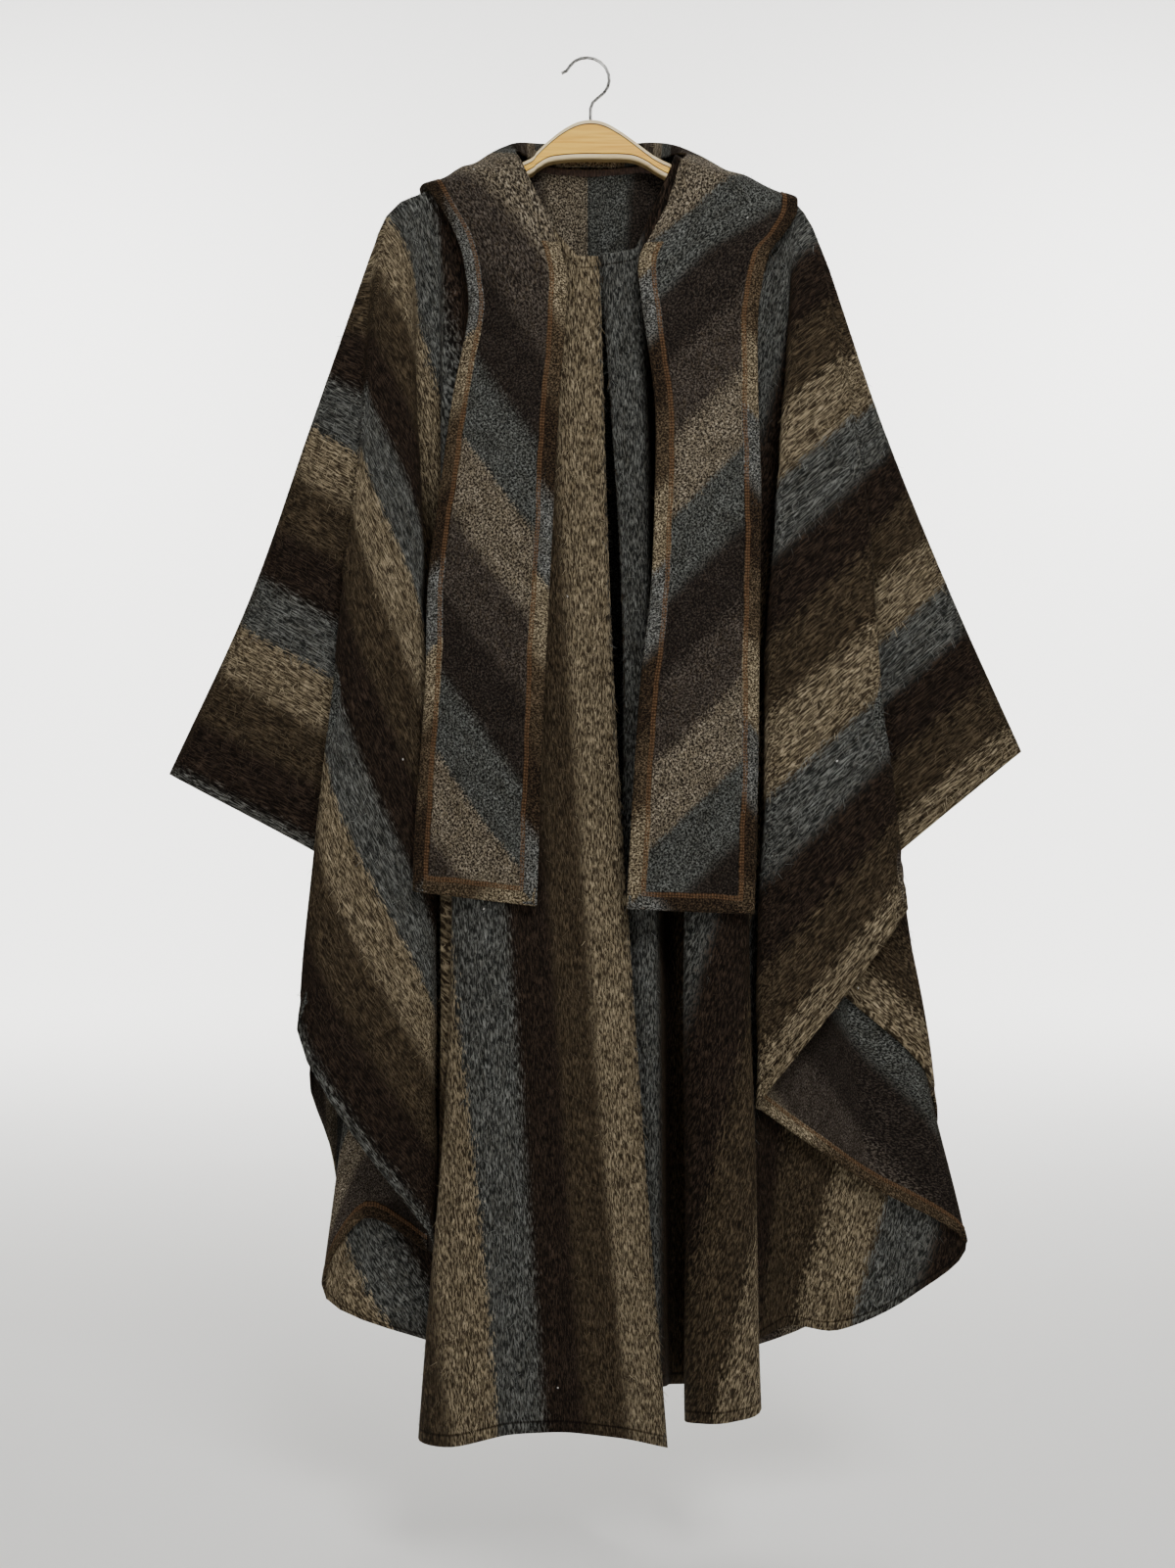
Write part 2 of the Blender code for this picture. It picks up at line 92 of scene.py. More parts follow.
# Loose hairs on a half of the body and of the hood: how many, and mm of length, lift and breadth.
BODY_HAIRS = {"count": 62000, "long": (4.0, 9.5), "lift": (0.3, 1.5), "breadth": 0.42}
HOOD_HAIRS = {"count": 9000, "long": (3.0, 6.0), "lift": (0.2, 0.9), "breadth": 0.36}
HAIR_TURN = 0.5  # radians that a hair strays from the stripes
HAIR_WILD = (0.06, 1.8)  # share of hairs that stand off, and mm that they do so
HAIR_THICKNESS = (0.6, 1.2)  # thinnest and thickest hair, against the breadth
HAIR_TIP = 0.4  # breadth of a hair's tip, against its root
HAIR_SEAT = 0.1  # mm that the root lies off the wall

# A row for a fold line of the viewer's left half, from the centre-front edge out to the drooping
# ridge: name, then across, down and depth at each of the four stations.
LEFT_FRONT = (
    ("edge", 612, 262, -36, 625, 668, -57, 650, 1073, -79, 681, 1478, -97),
    ("first_rise", 590, 262, -42, 585, 668, -71, 600, 1070, -99, 632, 1468, -121),
    ("crown", 562, 230, -32, 556, 645, -78, 564, 1053, -108, 575, 1462, -128),
    ("neck_front", 522, 176, -15, 538, 622, -76, 538, 1044, -104, 545, 1463, -126),
    ("neck_point", 515, 164, 0, 520, 600, -71, 513, 1035, -98, 515, 1464, -121),
    ("slope", 506, 171, 0, 490, 610, -60, 482, 1045, -84, 462, 1476, -104),
    ("column_edge", 485, 179, 0, 468, 610, -40, 461, 1040, -57, 428, 1467, -72),
    ("back_one", 470, 185, 0, 482, 600, -25, 488, 1020, -33, 462, 1440, -41),
    ("narrow", 455, 190, 0, 452, 600, -24, 452, 1005, -40, 445, 1402, -44),
    ("back_two", 445, 194, 0, 462, 590, -5, 470, 985, -8, 460, 1375, -12),
    ("low_flap", 434, 198, 0, 413, 570, 0, 380, 945, 2, 334, 1325, 3),
    ("low_turn", 427, 201, 0, 418, 568, -7, 398, 930, -9, 372, 1242, -10),
    ("under", 419, 204, 0, 430, 565, -15, 439, 920, -17, 438, 1276, -17),
    ("panel_right", 410, 208, 0, 428, 560, -36, 438, 910, -49, 438, 1258, -53),
    ("panel_left", 396, 222, 0, 364, 505, -27, 332, 778, -43, 304, 1051, -49),
    ("pleat_in", 388, 238, 0, 372, 478, -19, 396, 708, -30, 426, 936, -36),
    ("wing_in", 383, 252, 0, 365, 462, -12, 350, 664, -20, 326, 872, -27),
    ("ridge", 378, 265, 0, 317, 440, -4, 255, 615, -8, 174, 791, -14),
)

# The back of the same half, from the ridge to the centre back. The crest is shared with the front.
LEFT_BACK = (
    ("wing_in", 370, 460, 7, 350, 660, 13, 338, 872, 16),
    ("pleat_in", 392, 470, 13, 410, 700, 21, 424, 930, 26),
    ("panel_left", 378, 500, 22, 350, 780, 37, 320, 1080, 44),
    ("panel_right", 402, 535, 34, 372, 860, 58, 340, 1185, 74),
    ("under", 418, 550, 36, 398, 900, 66, 358, 1284, 86),
    ("low_turn", 430, 565, 26, 416, 930, 44, 384, 1322, 57),
    ("low_flap", 441, 572, 17, 432, 950, 27, 404, 1336, 29),
    ("back_two", 452, 580, 26, 448, 968, 44, 426, 1345, 54),
    ("narrow", 464, 590, 38, 464, 982, 73, 450, 1353, 99),
    ("back_one", 478, 597, 40, 484, 995, 78, 478, 1364, 108),
    ("column_edge", 493, 602, 28, 502, 1003, 50, 504, 1375, 63),
    ("slope", 509, 606, 23, 522, 1008, 36, 528, 1386, 38),
    ("neck_point", 526, 608, 32, 541, 1011, 53, 548, 1394, 66),
    ("neck_back", 522, 175, 13, 541, 609, 44, 555, 1011, 73, 562, 1400, 99),
    ("shoulder_blade", 552, 170, 13, 557, 610, 52, 570, 1012, 85, 576, 1406, 113),
    ("nape", 576, 173, 18, 580, 612, 43, 586, 1013, 68, 589, 1411, 90),
    ("centre", 600, 174, 18, 600, 612, 43, 600, 1014, 68, 600, 1412, 90),
)

# The same for the right half.
RIGHT_FRONT = (
    ("edge", 613, 261, -28, 637, 645, -42, 632, 1030, -52, 628, 1418, -55),
    ("strip", 649, 254, -34, 661, 640, -52, 669, 1025, -62, 674, 1416, -64),
    ("gap", 662, 225, -24, 674, 620, -14, 680, 1015, -11, 685, 1413, -9),
    ("neck_front", 685, 171, -15, 702, 604, -7, 714, 1008, -6, 722, 1411, -5),
    ("neck_point", 690, 160, 0, 728, 585, -3, 750, 1000, -3, 766, 1408, -2),
    ("column_edge", 697, 164, 0, 698, 600, -35, 700, 1025, -52, 702, 1447, -62),
    ("slope", 705, 169, 0, 712, 605, -47, 714, 1030, -69, 716, 1452, -92),
    ("crown", 716, 174, 0, 738, 605, -50, 741, 1030, -75, 746, 1451, -99),
    ("fall", 728, 179, 0, 758, 600, -37, 765, 1020, -55, 777, 1437, -71),
    ("back_one", 740, 184, 0, 748, 590, -19, 750, 990, -27, 752, 1390, -32),
    ("lower_left", 753, 189, 0, 766, 575, -7, 786, 965, -6, 800, 1353, -4),
    ("lower_mid", 766, 193, 0, 798, 578, -3, 830, 968, 0, 855, 1357, 2),
    ("lower_right", 780, 198, 0, 824, 570, -1, 880, 945, 3, 930, 1322, 4),
    ("lower_fold", 793, 202, 0, 842, 560, -4, 903, 913, -3, 985, 1267, -3),
    ("inner_face", 803, 206, 0, 822, 555, -12, 850, 900, -13, 886, 1207, -13),
    ("inner_turn", 812, 210, 0, 796, 545, -19, 787, 850, -22, 780, 1134, -23),
    ("panel_left", 820, 219, 0, 793, 530, -34, 782, 826, -48, 776, 1124, -53),
    ("panel_right", 828, 233, 0, 877, 470, -26, 899, 700, -43, 926, 928, -49),
    ("pleat_in", 834, 247, 0, 872, 466, -18, 864, 702, -29, 842, 938, -35),
    ("wing_in", 840, 261, 0, 880, 460, -11, 890, 664, -19, 918, 870, -25),
    ("ridge", 846, 276, 0, 902, 440, -4, 968, 603, -8, 1042, 768, -14),
)

RIGHT_BACK = (
    ("wing_in", 868, 450, 7, 912, 650, 13, 905, 880, 16),
    ("pleat_in", 856, 470, 14, 862, 720, 22, 850, 1000, 28),
    ("panel_right", 872, 505, 22, 905, 800, 37, 954, 1118, 44),
    ("panel_left", 846, 540, 34, 880, 880, 61, 946, 1190, 76),
    ("inner_turn", 832, 555, 35, 858, 910, 66, 930, 1250, 88),
    ("inner_face", 820, 565, 26, 838, 930, 44, 906, 1294, 57),
    ("lower_fold", 808, 572, 17, 818, 950, 27, 878, 1322, 29),
    ("lower_right", 796, 580, 24, 800, 965, 44, 848, 1343, 52),
    ("lower_mid", 783, 588, 36, 782, 978, 73, 818, 1358, 94),
    ("lower_left", 768, 594, 41, 765, 988, 82, 788, 1369, 110),
    ("back_one", 754, 598, 30, 748, 996, 57, 762, 1378, 77),
    ("fall", 740, 602, 23, 732, 1002, 37, 738, 1386, 40),
    ("crown", 724, 604, 28, 715, 1006, 46, 714, 1392, 54),
    ("slope", 707, 606, 40, 697, 1008, 72, 690, 1398, 96),
    ("column_edge", 690, 608, 46, 678, 1010, 84, 667, 1403, 113),
    ("neck_point", 672, 609, 36, 658, 1011, 62, 648, 1407, 82),
    ("neck_back", 684, 173, 13, 660, 610, 34, 645, 1011, 53, 634, 1409, 66),
    ("shoulder_blade", 656, 170, 13, 648, 610, 40, 634, 1012, 59, 624, 1411, 77),
    ("nape", 626, 173, 18, 622, 612, 43, 617, 1013, 68, 613, 1412, 90),
    ("centre", 600, 174, 18, 600, 612, 43, 600, 1014, 68, 600, 1412, 90),
)

# Where the stripes lie on each front fold line: mm of cloth from the centre-front edge at each station.
LEFT_STRIPES = {
    "edge": (0, 0, 0, 0),
    "first_rise": (21, 45, 58, 62),
    "crown": (46, 75, 109, 131),
    "neck_front": (54, 97, 138, 162),
    "neck_point": (59, 114, 164, 193),
    "slope": (79, 146, 192, 251),
    "column_edge": (101, 168, 215, 288),
    "back_one": (117, 182, 222, 326),
    "narrow": (133, 190, 228, 360),
    "back_two": (143, 240, 350, 560),
    "low_flap": (154, 300, 470, 655),
    "low_turn": (161, 315, 492, 708),
    "under": (169, 335, 520, 752),
    "panel_right": (179, 370, 540, 767),
    "panel_left": (199, 440, 612, 767),
    "pleat_in": (213, 425, 599, 767),
    "wing_in": (222, 402, 575, 767),
    "ridge": (230, 409, 583, 767),
}
RIGHT_STRIPES = {
    "edge": (2, 2, 3, 3),
    "strip": (44, 28, 42, 50),
    "gap": (60, 66, 84, 100),
    "neck_front": (76, 110, 140, 165),
    "neck_point": (84, 128, 172, 220),
    "column_edge": (92, 160, 245, 327),
    "slope": (101, 175, 257, 340),
    "crown": (113, 195, 280, 368),
    "fall": (125, 215, 305, 397),
    "back_one": (138, 258, 375, 458),
    "lower_left": (151, 285, 445, 546),
    "lower_mid": (164, 315, 480, 594),
    "lower_right": (178, 345, 515, 655),
    "lower_fold": (191, 370, 540, 700),
    "inner_face": (201, 395, 572, 735),
    "inner_turn": (211, 415, 600, 783),
    "panel_left": (221, 428, 614, 785),
    "panel_right": (235, 441, 600, 785),
    "pleat_in": (248, 440, 610, 785),
    "wing_in": (260, 432, 605, 785),
    "ridge": (273, 435, 614, 785),
}
# mm of cloth from the ridge down to the lower edge, for the fold lines that end on the selvage
LEFT_SELVAGE = {"panel_right": 684, "panel_left": 443, "pleat_in": 290, "wing_in": 158, "ridge": 0}
RIGHT_SELVAGE = {
    "inner_turn": 520, "panel_left": 485, "panel_right": 251, "pleat_in": 190, "wing_in": 120, "ridge": 0,
}

# A row for each section of a hood half's tail, from its lower end up to the crest of the shoulder:
# across, down and depth of the inner edge, then of the outer edge, then mm that the middle bulges.
LEFT_TAIL = (
    (547, 924, -112, 423, 909, -66, 3),
    (549, 866, -110, 425, 850, -65, 4),
    (551, 793, -106, 431, 770, -62, 5),
    (555, 700, -99, 436, 690, -60, 5),
    (560, 600, -91, 439, 590, -56, 5),
    (565, 500, -82, 452, 490, -50, 6),
    (570, 410, -73, 464, 405, -43, 6),
    (576, 330, -63, 480, 320, -36, 6),
    (577, 275, -55, 474, 262, -29, 6),
    (564, 234, -45, 461, 228, -23, 7),
    (548, 198, -34, 446, 204, -18, 5),
    (533, 166, -18, 436, 190, -9, 3),
)

RIGHT_TAIL = (
    (641, 927, -104, 769, 932, -76, 3),
    (645, 856, -102, 771, 860, -75, 4),
    (650, 770, -99, 773, 780, -73, 5),
    (656, 690, -93, 774, 690, -70, 5),
    (666, 600, -86, 775, 600, -66, 5),
    (670, 500, -77, 776, 500, -60, 5),
    (670, 410, -68, 773, 410, -53, 6),
    (658, 320, -58, 773, 320, -45, 6),
    (653, 268, -51, 783, 262, -34, 7),
    (666, 238, -44, 800, 238, -24, 8),
    (681, 209, -34, 812, 219, -18, 5),
    (694, 168, -18, 813, 204, -10, 3),
)

# A row for each section of the same half behind the shoulder, out to in: across, down and depth of
# the neck edge, the roll's front and back, the pouch's inner fold, its outer fold and the face edge.
LEFT_POUCH = (
    (526, 155, 3, 508, 157, 8, 490, 165, 15, 474, 176, 19, 454, 190, 19, 430, 196, 10),
    (531, 156, 13, 526, 148, 17, 524, 151, 28, 500, 240, 44, 482, 258, 56, 446, 220, 46),
    (552, 167, 17, 550, 149, 20, 549, 152, 32, 535, 322, 58, 525, 342, 76, 488, 216, 80),
    (574, 171, 18, 574, 151, 21, 574, 153, 33, 570, 396, 68, 568, 418, 94, 545, 203, 110),
    (600, 171, 18, 600, 151, 21, 600, 153, 33, 600, 396, 68, 600, 418, 94, 600, 203, 110),
)

RIGHT_POUCH = (
    (701, 158, 3, 718, 164, 8, 736, 172, 15, 754, 184, 19, 776, 198, 19, 808, 208, 10),
    (688, 158, 13, 692, 151, 17, 694, 154, 28, 716, 244, 44, 736, 262, 56, 776, 230, 46),
    (662, 166, 17, 665, 148, 20, 666, 151, 32, 676, 324, 58, 690, 344, 76, 728, 220, 80),
    (630, 171, 18, 630, 151, 21, 630, 153, 33, 632, 396, 68, 634, 418, 94, 660, 203, 110),
    (600, 171, 18, 600, 151, 21, 600, 153, 33, 600, 396, 68, 600, 418, 94, 600, 203, 110),
)

# The wooden bar: across, its top edge and its bottom edge, in grid rows.
BAR = (
    (411, 216.6, 230),
    (414, 214.1, 233),
    (434, 205.6, 226),
    (470, 192.6, 212),
    (506, 178.6, 197),
    (541, 164, 180),
    (549, 156, 174),
    (560, 145.5, 167.5),
    (574, 134.5, 165),
    (589, 126.5, 164),
    (603, 124, 163.7),
    (617, 126.5, 164),
    (632, 134.5, 164),
    (647, 145, 165.5),
    (660, 155, 171),
    (674, 164, 180),
    (706, 178.4, 196),
    (740, 192.8, 212),
    (776, 205.3, 225),
    (806, 216.3, 236),
    (809, 220, 233),
)


def linear(code):
    """An sRGB hex colour as linear RGBA."""
    values = [int(code[i : i + 2], 16) / 255 for i in (1, 3, 5)]
    return tuple(c / 12.92 if c <= 0.04045 else ((c + 0.055) / 1.055) ** 2.4 for c in values) + (1.0,)


def set_sockets(node, values):
    """Sets a node's constants, each by its socket's name or number."""
    for key, value in values.items():
        node.inputs[key].default_value = value


def add(tree, kind, values=None, links=None, stops=None, **settings):
    """Adds a node: settings are its attributes, values its sockets' constants by name or number, links
    what feeds it by name or number, and stops the places and colours of its colour ramp."""
    made = tree.nodes.new("ShaderNode" + kind)
    for key, value in settings.items():
        setattr(made, key, value)
    set_sockets(made, values or {})
    for key, source in (links or {}).items():
        tree.links.new(source, made.inputs[key])
    if stops:
        for _ in stops[2:]:
            made.color_ramp.elements.new(0.5)
        for element, (at, colour) in zip(made.color_ramp.elements, stops):
            element.position = at
            element.color = linear(colour)
    return made


def new_object(name, data):
    """An object of the mesh, light or camera, linked to the scene."""
    thing = bpy.data.objects.new(name, data)
    bpy.context.scene.collection.objects.link(thing)
    return thing


# Shapes


def place(across, down, depth):
    """Grid readings and a depth in mm as metres in the part's frame, along the eye's sight lines."""
    across, down, depth = np.broadcast_arrays(across, down, depth)
    step = GRID * (1 + (depth - GRID_DEPTH) / EYE_DISTANCE)
    x = (across - ACROSS_ZERO) * step
    z = (EYE_DOWN - down) * step - EYE_BELOW
    return np.stack([x, depth * MM, z], axis=-1).astype(float)


def slopes(points, at):
    """Slope at each of the points, which lie at the parameters in at, along axis 0."""
    step = np.diff(at).reshape((-1,) + (1,) * (points.ndim - 1))
    rise = np.diff(points, axis=0) / step
    inner = (rise[:-1] * step[1:] + rise[1:] * step[:-1]) / (step[1:] + step[:-1])
    return np.concatenate([rise[:1], inner, rise[-1:]])


def hermite(points, tangents, at, where):
    """The cubic curve through points at the parameters in at, read at the parameters in where."""
    at = np.asarray(at, float)
    where = np.asarray(where, float)
    i = np.clip(np.searchsorted(at, where, side="right") - 1, 0, len(at) - 2)
    shape = (-1,) + (1,) * (points.ndim - 1)
    span = (at[i + 1] - at[i]).reshape(shape)
    f = ((where - at[i]) / (at[i + 1] - at[i])).reshape(shape)
    return (
        points[i] * (2 * f**3 - 3 * f**2 + 1)
        + points[i + 1] * (3 * f**2 - 2 * f**3)
        + tangents[i] * span * (f**3 - 2 * f**2 + f)
        + tangents[i + 1] * span * (f**3 - f**2)
    )


def read_table(table, steps):
    """The smooth curve through a table's rows, read steps times between each row and the next."""
    table = np.array(table, float)
    at = np.arange(len(table), dtype=float)
    return hermite(table, slopes(table, at), at, np.linspace(0, at[-1], (len(table) - 1) * steps + 1))


def fold_slopes(lines):
    """Slopes across the fold lines: half the way between the neighbours, and never longer than the
    nearer one is away, so that a sharp fold stays round and doesn't loop."""
    step = np.diff(lines, axis=0)
    length = np.linalg.norm(step, axis=-1, keepdims=True)
    inner = (step[:-1] + step[1:]) / 2
    most = np.minimum(length[:-1], length[1:])
    size = np.linalg.norm(inner, axis=-1, keepdims=True)
    inner = inner * np.minimum(1.0, most / np.maximum(size, 1e-9))
    return np.concatenate([step[:1], inner, step[-1:]])


def run_of(points):
    """mm along a line of points, from its first one, along axis 0."""
    step = np.linalg.norm(np.diff(points, axis=0), axis=-1)
    return np.concatenate([np.zeros_like(step[:1]), np.cumsum(step, axis=0)]) / MM


def table_lines(front, back):
    """The fold lines of a half, the front's and then the back's, as points by station and line. A line
    of the back that states no crest has that of the front's line of the same name. Returns them with
    the numbers of the ridge's line and of the neck point's."""
    rows = [np.array(row[1:], float).reshape(4, 3) for row in front]
    names = [row[0] for row in front]
    tops = {name: line[0] for name, line in zip(names, rows)}
    for row in back:
        rest = np.array(row[1:], float).reshape(-1, 3)
        if len(rest) == 3:
            rest = np.concatenate([tops[row[0]][None], rest])
        rows.append(rest)
    lines = np.stack(rows, axis=1)
    return place(lines[..., 0], lines[..., 1], lines[..., 2]), len(front) - 1, names.index("neck_point")


def hem_reach(u, width):
    """mm of cloth from the crest to the hem at u mm from the centre-front edge: straight, and then
    a quarter of an ellipse."""
    share = np.clip((u - CORNER_START) / (width - CORNER_START), 0, 1)
    return CLOTH_LONG - CORNER_HIGH * (1 - np.sqrt(1 - share**2))


def held_at_centre(grid, side):
    """The points' places across, with none more than CENTRE_PAST over the centre back."""
    limit = -side * CENTRE_PAST * MM
    return np.maximum(grid[..., 0], limit) if side > 0 else np.minimum(grid[..., 0], limit)


def half_surface(front, back, side, rows, cuts):
    """One half of the body as a surface of (round the body, down from the crest): cubic curves down
    the fold lines through their stations, and cubic curves across the lines, on a saddle that is a
    quarter round on either side of the hanger's arm. Returns the points and the columns of the ridge
    and of the neck point."""
    stations, ridge, neck = table_lines(front, back)
    lines = hermite(stations, slopes(stations, np.array(STATIONS)), STATIONS, rows)
    lines = lines.transpose(1, 0, 2)
    count = len(lines)
    drop = np.clip((lines[:, :1, 2] - lines[:, :, 2]) / (SADDLE_DROP * MM), 0, 1)
    round_off = np.sqrt(1 - (1 - drop) ** 2) * SADDLE * MM
    index = np.arange(count)
    mirror = 2 * ridge - neck
    share = np.clip(np.abs(index - ridge) / SADDLE_LINES, 0, 1)
    share = np.where((index >= neck) & (index <= mirror), share, 0.0)
    sign = np.where(index < ridge, -1.0, 1.0)
    fade = SADDLE_KEPT + (1 - SADDLE_KEPT) * np.exp(-rows * SADDLE_FADE)
    lines[:, :, 1] += (share * sign)[:, None] * round_off * fade[None]
    where = np.linspace(0, count - 1, (count - 1) * cuts + 1)
    at = np.arange(count, dtype=float)
    smooth = hermite(lines, fold_slopes(lines), at, where)
    low = where.astype(int).clip(0, count - 2)
    part = (where - low)[:, None, None]
    straight = lines[low] * (1 - part) + lines[low + 1] * part
    flat = np.exp(-rows / CREST_STRAIGHT)[None, :, None]
    grid = smooth * (1 - flat) + straight * flat
    grid[..., 0] = np.where((where >= mirror)[:, None], held_at_centre(grid, side), grid[..., 0])
    return grid.transpose(1, 0, 2), ridge * cuts, neck * cuts


def cloth_coordinates(grid, front, back, stripes, selvage, width, rows, cuts):
    """Where each point of a half lies on the cloth: u, mm from the centre-front edge, and v, mm from
    the crest. On the front u is a cubic curve down each line through the stripes' table, and on the
    back it falls to nothing with the share of the way round. v is the row's share of the line's whole
    length, which comes from the selvage's table, or else from the hem's reach at its u."""
    ridge = len(front) - 1
    at = np.arange(len(front) + len(back), dtype=float)
    where = np.linspace(0, at[-1], (len(at) - 1) * cuts + 1)
    table = np.array([stripes[row[0]] for row in front], float).T
    lines = hermite(table, slopes(table, np.array(STATIONS)), STATIONS, rows)
    on_front = where[: ridge * cuts + 1]
    u_front = np.stack([np.interp(on_front, at[: ridge + 1], line) for line in lines])
    step = np.linalg.norm(np.diff(grid, axis=1), axis=-1)[:, ridge * cuts :]
    step[:, : WING_LINES * cuts] *= WING_CREEP
    way = np.concatenate([np.zeros((len(rows), 1)), np.cumsum(step, axis=1)], axis=1)
    u = np.concatenate([u_front, (u_front[:, -1:] * (1 - way / way[:, -1:]))[:, 1:]], axis=1)
    at_hem = np.concatenate([lines[-1], u[-1, (ridge + 1) * cuts :: cuts]])
    ends = np.array([selvage.get(row[0], -1.0) for row in front + back])
    long = np.interp(where, at, np.where(ends < 0, hem_reach(at_hem, width), ends))
    return u, long[None] * rows[:, None]


def tail_points(table):
    """Six points across each section of a tail, from edge to edge, with the middle forward."""
    table = np.array(table, float)
    inner = place(table[:, 0], table[:, 1], table[:, 2])
    outer = place(table[:, 3], table[:, 4], table[:, 5])
    share = np.linspace(0, 1, 6)[None, :, None]
    points = inner[:, None] * (1 - share) + outer[:, None] * share
    points[..., 1] -= table[:, 6:7] * MM * np.sin(np.pi * share[..., 0])
    return points


def hood_surface(tail, pouch, side, steps=10, across=12):
    """A hood half as a surface of (along from the tail's end to the centre back, across from the neck
    edge to the face edge): cubic curves both ways through the stated points. Returns the points and
    the mm along and across."""
    behind = np.array(pouch, float).reshape(-1, 6, 3)
    behind = place(behind[..., 0], behind[..., 1], behind[..., 2])
    grid = np.concatenate([tail_points(tail), behind])
    for cuts in (steps, across):
        at = np.arange(len(grid), dtype=float)
        between = np.linspace(0, at[-1], (len(grid) - 1) * cuts + 1)
        grid = hermite(grid, fold_slopes(grid), at, between).transpose(1, 0, 2)
    grid[..., 0] = held_at_centre(grid, side)
    over = run_of(grid.transpose(1, 0, 2)).T
    return grid, np.broadcast_to(run_of(grid.mean(axis=1))[:, None], over.shape), over


def cells(index):
    """The four corners of each cell of a grid of point numbers, a row for each cell."""
    return np.stack([index[:-1, :-1], index[:-1, 1:], index[1:, 1:], index[1:, :-1]], axis=-1).reshape(-1, 4)


def numbered(grid):
    """A number for each point of a grid."""
    return np.arange(grid.shape[0] * grid.shape[1]).reshape(grid.shape[:2])


def quad_mesh(name, points, faces):
    """A mesh of four-cornered faces."""
    mesh = bpy.data.meshes.new(name)
    mesh.vertices.add(len(points))
    mesh.vertices.foreach_set("co", points.astype(np.float32).ravel())
    mesh.loops.add(faces.size)
    mesh.loops.foreach_set("vertex_index", faces.astype(np.int32).ravel())
    mesh.polygons.add(len(faces))
    mesh.polygons.foreach_set("loop_start", np.arange(0, faces.size, 4, dtype=np.int32))
    return mesh


def add_map(mesh, name, values):
    """A UV map in metres, with a value for each corner of each face."""
    mesh.uv_layers.new(name=name).data.foreach_set("uv", values.astype(np.float32).ravel())


def add_number(mesh, name, values):
    """An attribute with a number for each point."""
    mesh.attributes.new(name, "FLOAT", "POINT").data.foreach_set("value", values.astype(np.float32))


def sheet_mesh(name, grid, uv, flip=False, fold=None, inset=None):
    """A mesh on the grid's points with the cloth coordinates as its UV map. fold = (ridge column,
    neck column) makes the crest's points of the back the same as those of the front."""
    own = numbered(grid)
    index = own.copy()
    if fold:
        ridge, neck = fold
        back = np.arange(ridge, 2 * ridge - neck + 1)
        index[0, back] = index[0, 2 * ridge - back]
    faces, texture = cells(index), cells(own)
    if flip:
        faces, texture = faces[:, ::-1], texture[:, ::-1]
    used = np.unique(index)
    order = np.full(own.size, -1)
    order[used] = np.arange(len(used))
    mesh = quad_mesh(name, grid.reshape(-1, 3)[used], order[faces])
    add_map(mesh, "cloth", uv.reshape(-1, 2)[texture])
    if inset is not None:
        add_number(mesh, "inset", inset.ravel()[used] * MM)
    mesh.update(calc_edges=True)
    mesh.shade_smooth()
    return mesh


def cloth_piece(name, mesh, face, back):
    """An object of the mesh with a wall of cloth, whose right and wrong sides are face and back."""
    thing = new_object(name, mesh)
    mesh.materials.append(face)
    mesh.materials.append(back)
    shell = thing.modifiers.new("wall", "SOLIDIFY")
    shell.thickness = WALL
    shell.offset = 0.0
    shell.material_offset = 1
    shell.material_offset_rim = 0
    shell.use_quality_normals = True
    return thing


def surface_frame(grid):
    """Unit normals of a grid surface and its unit directions down the rows."""
    down = np.gradient(grid, axis=0)
    normal = np.cross(np.gradient(grid, axis=1), down)
    return tuple(a / np.maximum(np.linalg.norm(a, axis=-1, keepdims=True), 1e-9) for a in (normal, down))


def sway(along, table):
    """The sum of sines of the way along that the table's rows give."""
    return sum(size * np.sin(along / long + phase) for size, long, phase in table)


